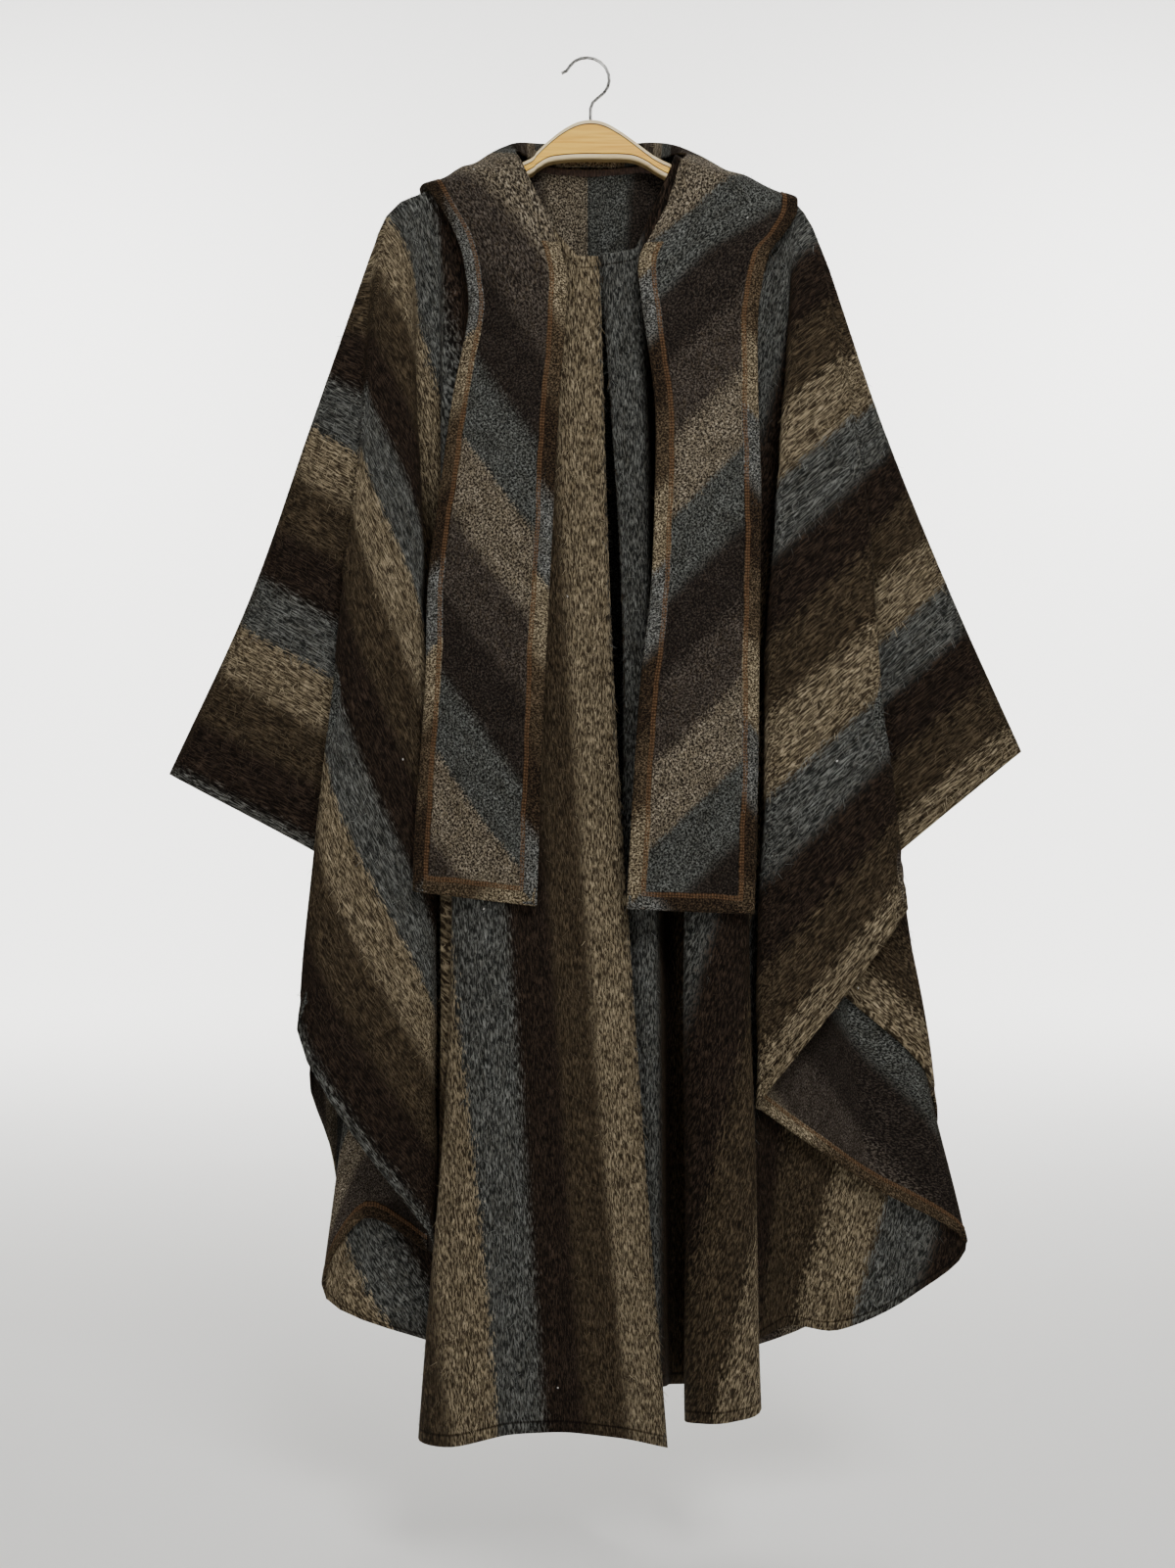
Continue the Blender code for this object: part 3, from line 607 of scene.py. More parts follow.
def hem_strip(name, material, grid, uv, normal, shift=0.0, wide=HEM_WIDE, profile=HEM_PROFILE):
    """The turned hem along a surface's last column (the grid is turned so that its edge lies there): at
    each row the profile's (mm in from the edge, mm out from the cloth's middle) is carried along the
    edge, so the strip wraps the edge and lies on the side that the normal points to. The stripes run on
    round the fold, moved by shift mm. The map "hem" is (metres along, metres across)."""
    back = grid[:, ::-1]
    over = run_of(back.transpose(1, 0, 2)).T
    inward = back[:, 1] - back[:, 0]
    inward /= np.linalg.norm(inward, axis=-1, keepdims=True)
    along = run_of(grid[:, -1])
    pick = np.arange(len(along))
    sections, cloth = [], []
    for inside, out in profile:
        from_edge = np.where(inside > 0, inside * wide / PROFILE_WIDE, inside)
        from_edge = from_edge + (sway(along, WANDER) if inside > INNER_FROM else np.zeros(len(along)))
        on_cloth = np.clip(from_edge, 0, None)
        index = np.clip((over <= on_cloth[:, None]).sum(axis=1) - 1, 0, over.shape[1] - 2)
        gap = over[pick, index + 1] - over[pick, index]
        share = ((on_cloth - over[pick, index]) / np.maximum(gap, 1e-6))[:, None]
        point = back[pick, index] * (1 - share) + back[pick, index + 1] * share
        point = point + inward * (np.minimum(from_edge, 0.0) * MM)[:, None]
        high = out + (sway(along, PUFF) if PUFF_FROM < inside < PUFF_TO else np.zeros(len(along)))
        sections.append(point + normal[:, ::-1][pick, index] * (high * MM)[:, None])
        cloth.append(uv[:, -1] + np.stack([shift + on_cloth * HEM_U, on_cloth * HEM_V], axis=-1) * MM)
    points = np.stack(sections, axis=1)
    mesh = sheet_mesh(name, points, np.stack(cloth, axis=1))
    insides = np.array(profile)[None, :, 0] * wide / PROFILE_WIDE
    strip = np.stack(np.broadcast_arrays(along[:, None], insides), axis=-1) * MM
    add_map(mesh, "hem", strip.reshape(-1, 2)[cells(numbered(points))])
    # turned over where its faces point to the middle of the profile
    first = points[:-1, :-1]
    face = np.cross(points[1:, :-1] - first, points[:-1, 1:] - first)
    if (face * (first - points.mean(axis=1, keepdims=True)[:-1])).sum() > 0:
        mesh.flip_normals()
    mesh.materials.append(material)
    return new_object(name, mesh)


def loose_hairs(name, material, grid, uv, normal, down, seed, count, long, lift, breadth):
    """Loose fibres as thin quads on a grid surface: each has its root at a random place, evenly by area,
    lies along the stripes within some degrees, and its tip is lifted off the cloth. The last row of
    cells has none, so that none hangs past the hem. Each has a shade of its own."""
    random = np.random.default_rng(seed)
    corner = grid[:-1, :-1]
    area = np.linalg.norm(np.cross(grid[1:, :-1] - corner, grid[:-1, 1:] - corner), axis=-1)
    area[-1:] = 0.0
    area = area.ravel()
    cell = random.choice(area.size, size=count, p=area / area.sum())
    row, column = np.divmod(cell, grid.shape[1] - 1)
    a, b = random.random((2, count, 1))
    root, out, way, cloth = (
        field[row, column] * (1 - a) * (1 - b)
        + field[row + 1, column] * a * (1 - b)
        + field[row, column + 1] * (1 - a) * b
        + field[row + 1, column + 1] * a * b
        for field in (grid, normal, down, uv)
    )
    out /= np.linalg.norm(out, axis=-1, keepdims=True)
    way -= out * (way * out).sum(axis=-1, keepdims=True)
    way /= np.maximum(np.linalg.norm(way, axis=-1, keepdims=True), 1e-6)
    cross = np.cross(out, way)
    turn = random.normal(0, HAIR_TURN, (count, 1))
    heading = way * np.cos(turn) + cross * np.sin(turn)
    beside = cross * np.cos(turn) - way * np.sin(turn)
    length = random.uniform(*long, (count, 1)) * MM
    wild, stands = HAIR_WILD
    raised = (random.uniform(*lift, (count, 1)) + (random.random((count, 1)) < wild) * stands) * MM
    half = beside * random.uniform(*HAIR_THICKNESS, (count, 1)) * breadth / 2 * MM
    low = root + out * (WALL / 2 + HAIR_SEAT * MM)
    tip = low + heading * length + out * raised
    points = np.stack([low - half, low + half, tip + half * HAIR_TIP, tip - half * HAIR_TIP], axis=1)
    shade = random.random(count) ** 2
    mesh = quad_mesh(name, points.reshape(-1, 3), np.arange(4 * count).reshape(-1, 4))
    add_map(mesh, "cloth", np.repeat(cloth, 4, axis=0))
    add_number(mesh, "shade", np.repeat(shade, 4))
    mesh.update(calc_edges=True)
    mesh.materials.append(material)
    return new_object(name, mesh)


# Materials

# deep and light fibres of each stripe, on the brushed face, on the felted wrong side and on turned hems
TAUPE, OLIVE, DARK, GREY = range(4)
FACE_DEEP = ("#322a20", "#1f1911", "#0e0a06", "#1f201f")
FACE_LIGHT = ("#ac9d80", "#5e513e", "#41342a", "#7b7c77")
BACK_DEEP = ("#241f1a", "#1b1714", "#100d0b", "#181918")
BACK_LIGHT = ("#a99d88", "#665d54", "#453d36", "#777974")
# the turned hems' light fibres, paler than the face's as a painted highlight along the rolled edge
HEM_LIGHT_HIGHLIT = ("#b8a98b", "#71604a", "#50402f", "#93938e")
TONES = {
    "right": (FACE_DEEP, FACE_LIGHT),
    "fibre": (FACE_DEEP, FACE_LIGHT),
    "wrong": (BACK_DEEP, BACK_LIGHT),
    "turned": (FACE_DEEP, HEM_LIGHT_HIGHLIT),
}
THREAD = ("#3d2c1d", "#543c27", "#70533a")
REPEAT = 4 * BAND * MM  # metres of cloth for the four stripes
STRIPE_EDGE = 0.028  # share of the repeat over which a stripe fades in and out
STRIPE_START = 4.0  # whole repeats that keep the stripes' count above nothing
# Noise cells a metre across and along the stripes, and metres by which a stripe's edge wanders with
# them. Brushed: fibre bundles 1.3 mm wide and 7.4 mm long in tufts of 9 by 29 mm, since single fibres
# are too fine to show. Felted: specks of 1.7 mm in patches of 16 by 21 mm.
BRUSHED = {"fine": (780.0, 135.0, 1.0), "broad": (110.0, 34.0, 1.0), "shake": 0.034}
FELTED = {"fine": (600.0, 540.0, 1.0), "broad": (62.0, 48.0, 1.0), "shake": 0.024}
INSET_SCALE = 20.0  # turns the metres from the hem into the ramp's 0 to 1
# painted shade of the topstitching's groove: a grey line that darkens the cloth
STITCH_GROOVE_SHADE = ((0.19, "#ffffff"), (0.222, "#8f8a85"), (0.238, "#8f8a85"), (0.27, "#ffffff"))
HEM_SCALE = 30.0  # the same for the metres across a hem strip
THREAD_ROWS = ((0.365, "#000000"), (0.38, "#ffffff"), (0.41, "#ffffff"), (0.43, "#3a3a3a"),
    (0.45, "#ffffff"), (0.49, "#ffffff"), (0.51, "#000000"))
STITCHES = 2100.0  # radians of the stitches' sine for a metre: one stitch is 3 mm


def new_material(name):
    """A material with its node tree and its shader."""
    material = bpy.data.materials.new(name)
    material.use_nodes = True
    return material, material.node_tree, material.node_tree.nodes["Principled BSDF"]


def striped_wool(name, colours, side):
    """Woven wool in four stripe colours that repeat across the cloth. side is "right" where it is
    brushed, so that fibres lie along the stripes in streaks, "wrong" where it is felted and
    speckled, "turned" on hem strips, and "fibre" for the loose hairs."""
    material, tree, shader = new_material(name)
    uv = add(tree, "UVMap", uv_map="cloth").outputs[0]
    # a turned hem's grain follows its own map
    own_map = add(tree, "UVMap", uv_map="hem").outputs[0] if side == "turned" else uv
    across = add(tree, "SeparateXYZ", links={0: uv}).outputs[0]
    weave = BRUSHED if side in ("right", "fibre") else FELTED
    fine_at = add(tree, "Mapping", {"Scale": weave["fine"]}, {"Vector": own_map}).outputs[0]
    grain = add(tree, "TexNoise", {"Scale": 1.0, "Detail": 3.0, "Roughness": 0.55, "Distortion": 0.6},
        {"Vector": fine_at}).outputs["Fac"]
    # two stripes meet along a line that wanders by a few bundles' breadth
    shake = weave["shake"]
    shaken = add(tree, "Math", {1: shake}, {0: grain, 2: across}, operation="MULTIPLY_ADD").outputs[0]
    turns = add(tree, "Math", {1: 1 / REPEAT, 2: STRIPE_START - shake / 2 / REPEAT}, {0: shaken},
        operation="MULTIPLY_ADD").outputs[0]
    part = add(tree, "Math", links={0: turns}, operation="FRACT").outputs[0]
    edges = (STRIPE_EDGE, 0.25 - STRIPE_EDGE)
    deep, light = (
        add(tree, "ValToRGB", links={"Fac": part},
            stops=[(i / 4 + at, tone[colour]) for i, colour in enumerate(colours) for at in edges],
        ).outputs["Color"]
        for tone in TONES[side]
    )
    if side == "fibre":
        own = add(tree, "Attribute", attribute_name="shade").outputs["Fac"]
        colour = add(tree, "Mix", links={0: own, 6: deep, 7: light}, data_type="RGBA").outputs[2]
        tree.links.new(colour, shader.inputs["Base Color"])
        set_sockets(shader, {"Roughness": 0.85, "Specular IOR Level": 0.15})
        return material
    speck = add(tree, "MapRange", {1: 0.45, 2: 0.67}, {0: grain}).outputs[0]
    colour = add(tree, "Mix", links={0: speck, 6: deep, 7: light}, data_type="RGBA").outputs[2]
    # tufts and patches a little darker than the rest
    broad_at = add(tree, "Mapping", {"Scale": weave["broad"]}, {"Vector": own_map}).outputs[0]
    tuft = add(tree, "TexNoise", {"Scale": 1.0, "Detail": 4.0, "Roughness": 0.6, "Distortion": 0.8},
        {"Vector": broad_at}).outputs["Fac"]
    patch = add(tree, "ValToRGB", links={"Fac": tuft}, stops=[(0.30, "#b3aea6"), (0.66, "#ffffff")])
    uneven = add(tree, "Mix", {0: 0.85}, {6: colour, 7: patch.outputs["Color"]}, data_type="RGBA",
        blend_type="MULTIPLY").outputs[2]
    # the topstitching sinks a groove 11.5 mm inside hems and the front neck edge, drawn as a darker line of
    # painted shade
    metres_in = add(tree, "Attribute", attribute_name="inset").outputs["Fac"]
    inset = add(tree, "Math", {1: INSET_SCALE}, {0: metres_in}, operation="MULTIPLY").outputs[0]
    groove = add(tree, "ValToRGB", links={"Fac": inset}, stops=STITCH_GROOVE_SHADE).outputs["Color"]
    sewn = add(tree, "Mix", {0: 1.0}, {6: uneven, 7: groove}, data_type="RGBA",
        blend_type="MULTIPLY").outputs[2]
    # a few pale flecks of lint, 1.5 mm across and a hand's breadth or more apart
    cells_at = add(tree, "TexVoronoi", {"Scale": 3.2}, {"Vector": uv}, voronoi_dimensions="2D")
    lint = add(tree, "MapRange", {1: 0.0022, 2: 0.0034, 3: 0.75, 4: 0.0},
        {0: cells_at.outputs["Distance"]}).outputs[0]
    worn = add(tree, "Mix", {7: linear("#d8d4cc")}, {0: lint, 6: sewn}, data_type="RGBA").outputs[2]
    tree.links.new(worn, shader.inputs["Base Color"])
    # the nap's soft sheen has the fibres' own warm brown, and the fibres hardly shine
    set_sockets(shader, {"Roughness": 0.92, "Specular IOR Level": 0.1, "Sheen Weight": 0.08,
        "Sheen Roughness": 0.5, "Sheen Tint": linear("#8f7a5e")})
    height = add(tree, "Math", {1: 0.5}, {0: grain, 2: tuft}, operation="MULTIPLY_ADD").outputs[0]
    bump = add(tree, "Bump", {"Strength": 0.9, "Distance": 0.0016}, {"Height": height}).outputs[0]
    tree.links.new(bump, shader.inputs["Normal"])
    return material


def hem_wool(name, colours):
    """The same wool where it is turned over and sewn down: its face, lightened by a painted highlight
    along the roll, with two rows of reddish brown overlock thread near the inner edge, about 1 mm wide,
    uneven where fibres cover them."""
    material = striped_wool(name, colours, "turned")
    tree = material.node_tree
    base = tree.nodes["Principled BSDF"].inputs["Base Color"]
    body = base.links[0].from_socket
    hem_map = add(tree, "UVMap", uv_map="hem").outputs[0]
    place_on = add(tree, "SeparateXYZ", links={0: hem_map})
    along, over = place_on.outputs[0], place_on.outputs[1]
    rough = add(tree, "TexNoise", {"Scale": 260.0, "Detail": 2.0}, {"Vector": hem_map}).outputs["Fac"]
    strayed = add(tree, "Math", {1: 0.0016}, {0: rough, 2: over}, operation="MULTIPLY_ADD").outputs[0]
    line = add(tree, "Math", {1: HEM_SCALE}, {0: strayed}, operation="MULTIPLY").outputs[0]
    rows_at = add(tree, "ValToRGB", links={"Fac": line}, stops=THREAD_ROWS).outputs["Color"]
    waves = add(tree, "Math", {1: STITCHES}, {0: along}, operation="MULTIPLY").outputs[0]
    loops = add(tree, "Math", links={0: waves}, operation="SINE").outputs[0]
    half = add(tree, "Math", {1: 0.5, 2: 0.5}, {0: loops}, operation="MULTIPLY_ADD").outputs[0]
    thread = add(tree, "ValToRGB", links={"Fac": half}, stops=list(zip((0.0, 0.6, 1.0), THREAD)))
    fuzz = add(tree, "MapRange", {1: 0.35, 2: 0.6, 3: 1.0, 4: 0.5}, {0: rough}).outputs[0]
    shown = add(tree, "Math", links={0: rows_at, 1: fuzz}, operation="MULTIPLY").outputs[0]
    both = add(tree, "Mix", links={0: shown, 6: body, 7: thread.outputs["Color"]}, data_type="RGBA")
    tree.links.new(both.outputs[2], base)
    return material


def seam_wool(name):
    """Overlocked seam allowance: dense reddish brown thread over the wool's edge, ribbed across at
    1.6 mm, which reads as a soft brown band."""
    material, tree, shader = new_material(name)
    uv = add(tree, "UVMap", uv_map="hem").outputs[0]
    ribs_at = add(tree, "Mapping", {"Scale": (620.0, 240.0, 1.0)}, {"Vector": uv}).outputs[0]
    grain = add(tree, "TexNoise", {"Scale": 1.0, "Detail": 3.0}, {"Vector": ribs_at}).outputs["Fac"]
    colour = add(tree, "ValToRGB", links={"Fac": grain},
        stops=[(0.3, "#231a15"), (0.5, "#3f2f26"), (0.7, "#5a463b")]).outputs["Color"]
    tree.links.new(colour, shader.inputs["Base Color"])
    set_sockets(shader, {"Roughness": 0.9})
    bump = add(tree, "Bump", {"Strength": 0.8, "Distance": 0.001}, {"Height": grain}).outputs[0]
    tree.links.new(bump, shader.inputs["Normal"])
    return material


def varnished_wood(name, dark, light, grain_scale):
    """Pale varnished wood, sawn and sanded: fine brown grain lines along the bar, under a soft gloss.
    grain_scale is lines a metre along, through and up the bar."""
    material, tree, shader = new_material(name)
    place_in = add(tree, "TexCoord").outputs["Object"]
    lines_at = add(tree, "Mapping", {"Scale": grain_scale}, {"Vector": place_in}).outputs[0]
    grain = add(tree, "TexNoise", {"Scale": 1.0, "Detail": 5.0, "Roughness": 0.6, "Distortion": 0.4},
        {"Vector": lines_at}).outputs["Fac"]
    colour = add(tree, "ValToRGB", links={"Fac": grain}, stops=[(0.32, dark), (0.62, light)])
    tree.links.new(colour.outputs["Color"], shader.inputs["Base Color"])
    rough = add(tree, "MapRange", {1: 0.3, 2: 0.7, 3: 0.34, 4: 0.5}, {0: grain}).outputs[0]
    tree.links.new(rough, shader.inputs["Roughness"])
    set_sockets(shader, {"Specular IOR Level": 0.3, "Coat Weight": 0.05, "Coat Roughness": 0.25})
    return material


def drawn_steel(name):
    """Drawn steel wire, bright nickel plated: mirror-like with faint rub marks of 2.4 mm."""
    material, tree, shader = new_material(name)
    place_in = add(tree, "TexCoord").outputs["Object"]
    rub = add(tree, "TexNoise", {"Scale": 420.0, "Detail": 3.0}, {"Vector": place_in}).outputs["Fac"]
    colour = add(tree, "ValToRGB", links={"Fac": rub}, stops=[(0.3, "#a9a8a4"), (0.7, "#d6d5d2")])
    tree.links.new(colour.outputs["Color"], shader.inputs["Base Color"])
    rough = add(tree, "MapRange", {1: 0.3, 2: 0.7, 3: 0.2, 4: 0.38}, {0: rub}).outputs[0]
    tree.links.new(rough, shader.inputs["Roughness"])
    set_sockets(shader, {"Metallic": 1.0})
    return material


# The garment

# Broad ripples down the cloth: mm from one to the next, and their share of RIPPLE_HIGH. They drift
# aslant over RIPPLE_DRIFT and swell over RIPPLE_BEAT, in mm down the cloth for one radian, and are at
# their full height RIPPLE_FROM down.
RIPPLES = ((173, 1.0), (97, 0.7), (61, 0.4))
RIPPLE_HIGH = 1.3
RIPPLE_DRIFT = 310
RIPPLE_BEAT = 190
RIPPLE_FROM = 220

# Soft creases on the front: u and v of both ends, then half breadth and height, all in mm.
LEFT_CREASES = (
    (30, 40, 62, 700, 9, -2.0),
    (95, 120, 150, 900, 12, 1.8),
    (420, 40, 360, 420, 14, -2.0),
    (500, 60, 470, 420, 12, 1.8),
    (600, 60, 560, 360, 13, -1.8),
)
RIGHT_CREASES = (
    (70, 60, 60, 800, 8, -1.6),
    (290, 30, 330, 520, 14, -2.0),
    (380, 60, 420, 500, 12, 1.8),
    (520, 50, 500, 400, 14, -2.0),
    (640, 60, 600, 380, 13, 1.8),
)

# Where a second layer of the right half folds forward under the panel: across, down and depth of its
# lower edge, and then of its far side.
SIDE_FOLD = (
    (851, 1005, -26, 868, 985, -28),
    (880, 1031, -24, 905, 938, -26),
    (904, 1051, -21, 921, 930, -21),
    (928, 1072, -17, 930, 966, -14),
    (944, 1090, -13, 940, 1015, -8),
    (953, 1105, -9, 948, 1062, -4),
    (951, 1121, -5, 954, 1108, -2),
)
SIDE_FOLD_UV = (184.0, 700.0)  # mm of cloth at its lower edge's start
SIDE_FOLD_ROLL = 0.004  # metres that its edge rolls back

TURNED_ROWS = 24  # grid rows from the hem that its turned strip uses
SEAM_ROWS = 16  # grid rows from the neck that its seam uses
TAIL_ROWS = 87  # grid rows of a tail from its end up to the neck
END_ROWS = 14  # grid rows of a tail from its end that the strip there uses

# How the stripes lie on each hood half: u and v change with the mm along by down_share and across_share,
# and the other way round with the mm across. The neck roll draws the cloth in by the share drawn, from
# ROLL_START to ROLL_END along, so that they steepen there.
HOOD_STRIPES = {
    -1: {"down_share": 0.65, "across_share": 0.68, "start": 448.0, "drawn": 0.6},
    1: {"down_share": 0.67, "across_share": 0.67, "start": 452.0, "drawn": 0.3},
}
HOOD_SHIFTS = {-1: (50.0, -20.0), 1: (6.0, -24.0)}  # mm that the stripes move on its face and neck hems
HOOD_EDGE = 11.0  # mm from the face edge to the line on which start is read
ROLL_START = 590
ROLL_END = 740
ROLL_SOFT = 15  # mm over which each of its ends comes in

left_order = (TAUPE, OLIVE, DARK, GREY)
right_order = (GREY, DARK, OLIVE, TAUPE)
right_side, wrong_side, loose, turned = {}, {}, {}, {}
for side, hand, order in ((-1, "left", left_order), (1, "right", right_order)):
    right_side[side] = striped_wool("brushed_wool_" + hand, order, "right")
    wrong_side[side] = striped_wool("felted_wool_" + hand, order, "wrong")
    loose[side] = striped_wool("wool_hairs_" + hand, order, "fibre")
    turned[side] = hem_wool("turned_wool_hem_" + hand, order)
seam = seam_wool("overlocked_wool_seam")


def soft_form(grid, u, v, creases, seed):
    """Pushes the surface along its normals: broad uneven ripples that run down the cloth, as sums of
    sines of u whose phase drifts with v, and the placed creases, each a Gaussian of the distance from
    its line on the cloth that fades toward its ends."""
    random = np.random.default_rng(seed)
    push = np.zeros(u.shape)
    for long, size in RIPPLES:
        phase, drift, beat = random.uniform(0, 6.3, 3)
        wave = np.sin(2 * np.pi * u / long + phase + 1.4 * np.sin(v / RIPPLE_DRIFT + drift))
        push += size * wave * (0.55 + 0.45 * np.sin(v / RIPPLE_BEAT + beat))
    push *= RIPPLE_HIGH * np.clip(v / RIPPLE_FROM, 0, 1)
    for u0, v0, u1, v1, wide, high in creases:
        line = np.array([u1 - u0, v1 - v0], float)
        share = ((u - u0) * line[0] + (v - v0) * line[1]) / (line @ line)
        held = np.clip(share, 0, 1)
        far = np.hypot(u - u0 - held * line[0], v - v0 - held * line[1])
        ends = np.sin(np.pi * np.clip(share, 0.02, 0.98)) ** 0.6
        push += high * np.exp(-((far / wide) ** 2)) * ends
    return grid + surface_frame(grid)[0] * (push * MM)[..., None]


def facing_front(normal, part):
    """The normals, turned round if those of the part don't face the viewer."""
    return -normal if normal[part][..., 1].mean() > 0 else normal


def body_half(name, front, back, stripes, selvage, width, side, creases):
    """One half of the body: its shell, its loose hairs, the hem strip where the wrong side turns to
    the front, and the seam of the back neck on the inside. Returns the shell and a list of the rest."""
    rows = np.linspace(0, 1, BODY_ROWS) ** ROW_CROWDING
    grid, ridge, neck = half_surface(front, back, side, rows, BODY_CUTS)
    u, v = cloth_coordinates(grid, front, back, stripes, selvage, width, rows, BODY_CUTS)
    grid = soft_form(grid, u, v, creases, 3 + side)
    uv = np.stack([u, v], axis=-1) * MM
    inset = np.maximum(np.minimum(hem_reach(u, width) - v, width - u), 0.0)
    inset[:, :neck] = np.minimum(inset, v)[:, :neck]
    mesh = sheet_mesh(name + "_cloth", grid, uv, flip=side > 0, fold=(ridge, neck), inset=inset)
    shell = cloth_piece(name + "_cloth", mesh, right_side[side], wrong_side[side])
    normal, down = surface_frame(grid)
    normal = facing_front(normal, (slice(40, 100), slice(5, ridge - 5)))
    hairs = loose_hairs(name + "_hairs", loose[side], grid, uv, normal, down, 11 + side, **BODY_HAIRS)
    names = [row[0] for row in front]
    first, last = ("low_flap", "under") if side < 0 else ("lower_fold", "panel_left")
    lines = slice(names.index(first) * BODY_CUTS, names.index(last) * BODY_CUTS + 1)
    low = [a[-TURNED_ROWS:, lines].transpose(1, 0, 2) for a in (grid, uv, -normal)]
    top = [a[:SEAM_ROWS, -3 * BODY_CUTS - 1 :].transpose(1, 0, 2)[:, ::-1] for a in (grid, uv, -normal)]
    hem = hem_strip(name + "_turned_hem", turned[side], *low)
    neck_seam = hem_strip(name + "_neck_seam", seam, *top, wide=SEAM_WIDE, profile=SEAM_PROFILE)
    return shell, [hairs, hem, neck_seam]


def side_fold():
    """The layer as a surface of (along its lower edge, up from it): straight between the two lines, with
    the edge rolled back. Its stripes run along the edge."""
    table = read_table(SIDE_FOLD, 7)
    low = place(table[:, 0], table[:, 1], table[:, 2])[:, None]
    far = place(table[:, 3], table[:, 4], table[:, 5])[:, None]
    share = (np.linspace(0, 1, 25) ** 1.3)[None, :, None]
    grid = low * (1 - share) + far * share
    grid[..., 1] += SIDE_FOLD_ROLL * np.exp(-share[..., 0] / 0.04)
    away = np.linalg.norm(grid[:, :, None] - low[None, None, :, 0], axis=-1).min(axis=-1) / MM
    run = np.broadcast_to(run_of(low), away.shape)
    uv = np.stack([SIDE_FOLD_UV[0] - away, SIDE_FOLD_UV[1] + run], axis=-1) * MM
    back = surface_frame(grid)[0][..., 1].mean() > 0
    mesh = sheet_mesh("body_right_side_fold", grid, uv, flip=back)
    return cloth_piece("body_right_side_fold", mesh, right_side[1], wrong_side[1])


def hood_uv(along, over, down_share, across_share, start, drawn):
    """Cloth coordinates of a hood half in metres: straight stripes aslant over the tail, steeper where
    the way along is slowed between two soft steps at the roll."""
    wide = over[:, -1:]
    into, out_of = 1 + np.exp((ROLL_START - along) / ROLL_SOFT), 1 + np.exp((along - ROLL_END) / ROLL_SOFT)
    slower = 1 - drawn / (into * out_of)
    along = np.concatenate([along[:1], along[:1] + np.cumsum(np.diff(along, axis=0) * slower[1:], axis=0)])
    u = down_share * (start - along) - across_share * (wide - over - HOOD_EDGE)
    v = across_share * (start - along) + down_share * (wide - over)
    return np.stack([u, v], axis=-1) * MM


def hood_half(name, tail, pouch, side):
    """One half of the hood: its shell, its turned hems on the face edge, the neck edge and the tail's
    end, and its loose hairs. Returns the shell and a list of the rest."""
    grid, along, over = hood_surface(tail, pouch, side)
    uv = hood_uv(along, over, **HOOD_STRIPES[side])
    mesh = sheet_mesh(name + "_cloth", grid, uv, flip=side > 0)
    shell = cloth_piece(name + "_cloth", mesh, right_side[side], wrong_side[side])
    normal, down = surface_frame(grid)
    normal = facing_front(normal, slice(60))
    whole = (grid, uv, normal)
    neck = [a[:TAIL_ROWS, ::-1] for a in whole]
    end = [a[:END_ROWS].transpose(1, 0, 2)[:, ::-1] for a in whole]
    face_shift, neck_shift = HOOD_SHIFTS[side]
    face_hem = hem_strip(name + "_face_hem", turned[side], *whole, face_shift)
    neck_hem = hem_strip(name + "_neck_hem", turned[side], *neck, neck_shift)
    end_hem = hem_strip(name + "_end_hem", turned[side], *end)
    hairs = loose_hairs(name + "_hairs", loose[side], grid, uv, normal, down, 21 + side, **HOOD_HAIRS)
    return shell, [face_hem, neck_hem, end_hem, hairs]


pieces, extras = {}, {}
for name, *form in (
    ("body_left", LEFT_FRONT, LEFT_BACK, LEFT_STRIPES, LEFT_SELVAGE, LEFT_WIDTH, -1, LEFT_CREASES),
    ("body_right", RIGHT_FRONT, RIGHT_BACK, RIGHT_STRIPES, RIGHT_SELVAGE, RIGHT_WIDTH, 1, RIGHT_CREASES),
):
    pieces[name], extras[name] = body_half(name, *form)
extras["body_right"].append(side_fold())
for name, *form in (("hood_left", LEFT_TAIL, LEFT_POUCH, -1), ("hood_right", RIGHT_TAIL, RIGHT_POUCH, 1)):
    pieces[name], extras[name] = hood_half(name, *form)

for name, piece in pieces.items():
    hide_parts(name)
    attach(piece, "root")
    for thing in extras[name]:
        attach(thing, "root")


# The hanger

# The bar's section from its lower back edge: mm in from the nearer long edge for each depth from the
# middle of the bar, and the groove at 5 mm. FACE to UNDER are the materials of the strips round it;
# GROOVE and UNDER are darker wood as painted shade in the groove and on the bar's bottom edge.
BAR_HALF = BAR_THICK / 2 / MM
BAR_EASED = 0.9  # mm that the back's long edges are eased by
BAR_SECTION = (
    (BAR_HALF - 0.9, 0.0), (-BAR_HALF + 2.2, 0.0), (-BAR_HALF + 0.5, 0.7), (-BAR_HALF, 2.0),
    (-BAR_HALF, 4.1), (-BAR_HALF + 0.7, 4.5), (-BAR_HALF + 0.7, 4.9), (-BAR_HALF, 5.3),
)
BAR_DEEPEST = 5.3  # mm, the most that the section lies in from an edge
BAR_ROOM = 0.46  # share of the bar's height that it may take where the bar is low
FACE, RIM, GROOVE, UNDER = range(4)
BAR_STRIPS = (UNDER, UNDER, RIM, RIM, RIM, GROOVE, GROOVE, GROOVE, FACE, GROOVE, GROOVE, GROOVE, RIM, RIM,
    RIM, RIM, FACE, FACE)


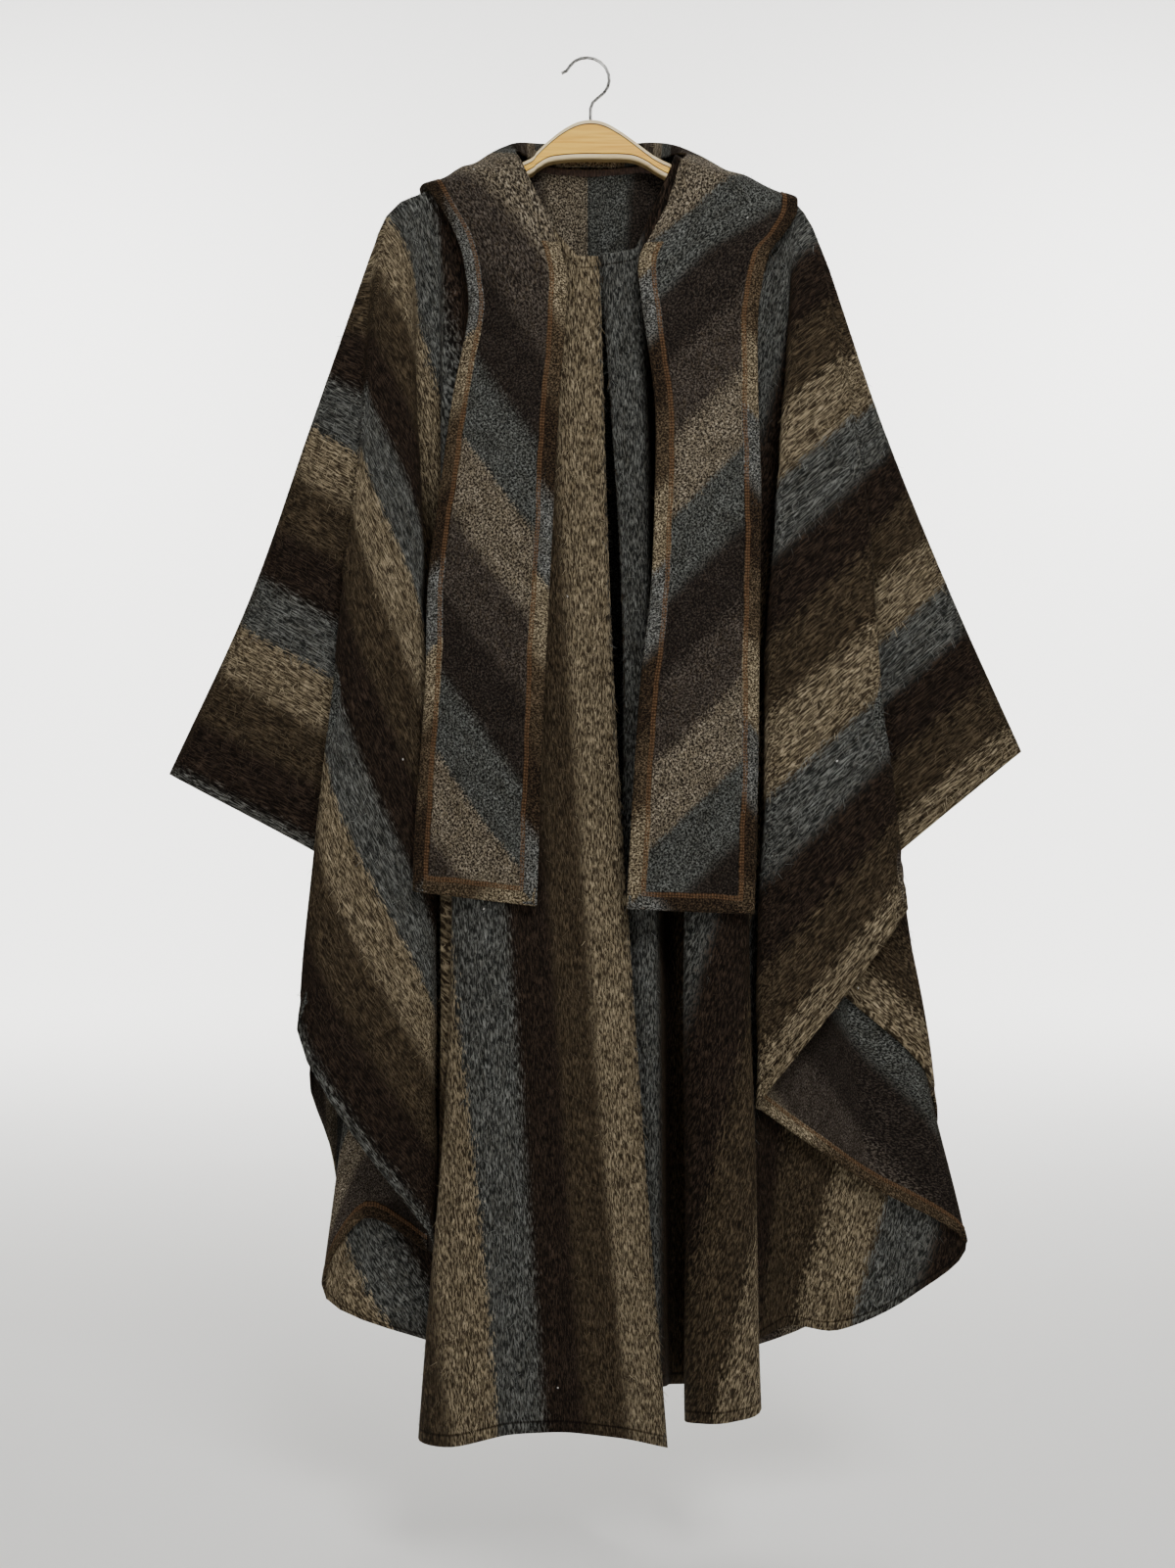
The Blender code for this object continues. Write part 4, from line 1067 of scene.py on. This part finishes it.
def wooden_bar():
    """The bar as a profile of (mm in depth, mm in from the nearer long edge) carried along it: its height
    follows the top and bottom edges, and a groove runs 5 mm inside both on the front."""
    held = read_table(BAR, 6)
    top = place(held[:, 0], held[:, 1], 0.0)
    bottom = place(held[:, 0], held[:, 2], 0.0)
    lower = [(y, inset, bottom, top) for y, inset in ((BAR_HALF, BAR_EASED), *BAR_SECTION)]
    upper = [(y, inset, top, bottom) for y, inset, _, _ in lower[::-1]]
    sections = []
    for y, inset, edge, other in lower + upper:
        toward = other - edge
        room = np.linalg.norm(toward, axis=-1, keepdims=True)
        step = np.minimum(inset * MM, room * BAR_ROOM * min(1.0, inset / BAR_DEEPEST))
        sections.append(edge + toward / room * step + np.array([0.0, y * MM, 0.0]))
    grid = np.stack(sections, axis=1)
    index = numbered(grid)
    quads = cells(np.concatenate([index, index[:, :1]], axis=1))[:, ::-1]
    mesh = bpy.data.meshes.new("wooden_bar")
    faces = quads.tolist() + [index[0].tolist(), index[-1, ::-1].tolist()]
    mesh.from_pydata(grid.reshape(-1, 3).tolist(), [], faces)
    mesh.update()
    work = bmesh.new()
    work.from_mesh(mesh)
    bmesh.ops.recalc_face_normals(work, faces=work.faces)
    work.to_mesh(mesh)
    work.free()
    along_bar, coarse = (14.0, 60.0, 330.0), (16.0, 80.0, 300.0)
    for name, dark, light, grain in (
        ("honey_varnished_birch", "#e8a62c", "#ffcb4a", along_bar),
        ("bare_birch_rim", "#dcc08c", "#f4e2b6", coarse),
        # dark brown in the groove, as painted shade in the recess
        ("birch_groove_painted_shade", "#5c3d1d", "#8a6434", along_bar),
        # the bottom edge, darker than the top edge's bare birch, as painted shade under the bar
        ("birch_underside_painted_shade", "#8c7247", "#ab9162", along_bar),
    ):
        mesh.materials.append(varnished_wood(name, dark, light, grain))
    slots = np.zeros(len(mesh.polygons), np.int32)
    slots[: len(quads)] = np.tile(BAR_STRIPS, len(grid) - 1)
    mesh.polygons.foreach_set("material_index", slots)
    return new_object("wooden_bar", mesh)


bar = wooden_bar()
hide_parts("hanger_bar")
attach(bar, "root")
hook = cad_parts["hanger_hook"]
hook.data.materials.clear()
hook.data.materials.append(drawn_steel("drawn_nickel_plated_steel"))


# Floor, light and camera

FLOOR = -1.50
STAGE_HALF = 24.0  # metres to each side and to the front
STAGE_FAR = 4.5  # metres behind the garment to where the floor bends up
STAGE_BEND = 1.6
STAGE_HIGH = 16.0


def stage():
    """A pale floor that curves up into a pale backdrop behind the garment, by a quarter circle."""
    curve = np.linspace(0, math.pi / 2, 24)[1:]
    bent = STAGE_FAR + STAGE_BEND * np.sin(curve)
    y = np.concatenate([[-STAGE_HALF, STAGE_FAR], bent, [STAGE_FAR + STAGE_BEND]])
    z = np.concatenate([[FLOOR, FLOOR], FLOOR + STAGE_BEND * (1 - np.cos(curve)), [STAGE_HIGH]])
    x = np.linspace(-STAGE_HALF, STAGE_HALF, 3)
    grid = np.stack(np.broadcast_arrays(x[None], y[:, None], z[:, None]), axis=-1)
    mesh = sheet_mesh("floor", grid, grid[..., :2])
    # matt off-white paper, so that the ground stays even and nothing shines beside the wool
    paper, _, shader = new_material("pale_studio_paper")
    set_sockets(shader, {"Base Color": linear("#efeeeb"), "Roughness": 0.9})
    mesh.materials.append(paper)
    new_object("floor", mesh)


def area_light(name, at, target, size, power):
    """A rectangular soft light at one point that looks at another: metres and watts."""
    lamp = bpy.data.lights.new(name, "AREA")
    lamp.shape = "RECTANGLE"
    lamp.size, lamp.size_y = size
    lamp.energy = power
    thing = new_object(name, lamp)
    thing.location = at
    thing.rotation_euler = (Vector(target) - Vector(at)).to_track_quat("-Z", "Y").to_euler()


stage()
area_light("key", (0.75, -2.3, 1.35), (0, 0, -0.45), (1.1, 1.1), 66)
area_light("fill", (-1.3, -2.6, -0.3), (0, 0, -0.95), (1.4, 1.4), 14)
area_light("back", (0.9, 1.7, 1.5), (0, 0, -0.5), (1.2, 1.0), 5)
area_light("backdrop_left", (-3.0, 3.4, 1.5), (-1.0, 6.1, 0.0), (2.5, 2.5), 400)
area_light("backdrop_right", (3.0, 3.4, 1.5), (1.0, 6.1, 0.0), (2.5, 2.5), 400)
area_light("floor", (0.0, 3.0, 3.2), (0.0, 4.2, -1.5), (5.0, 2.0), 120)
world = bpy.data.worlds.new("studio")
bpy.context.scene.world = world
world.use_nodes = True
set_sockets(world.node_tree.nodes["Background"], {"Color": linear("#f2f1ee"), "Strength": 0.24})

camera = bpy.data.cameras.new("camera")
camera.sensor_fit = "VERTICAL"
camera.sensor_height = 24.0
camera.lens = camera.sensor_height * EYE_DISTANCE * MM / (GRID * IMAGE_HIGH)
eye = new_object("camera", camera)
eye.location = (0.0, (GRID_DEPTH - EYE_DISTANCE) * MM, -EYE_BELOW)
eye.rotation_euler = (math.pi / 2, 0, 0)
bpy.context.scene.camera = eye
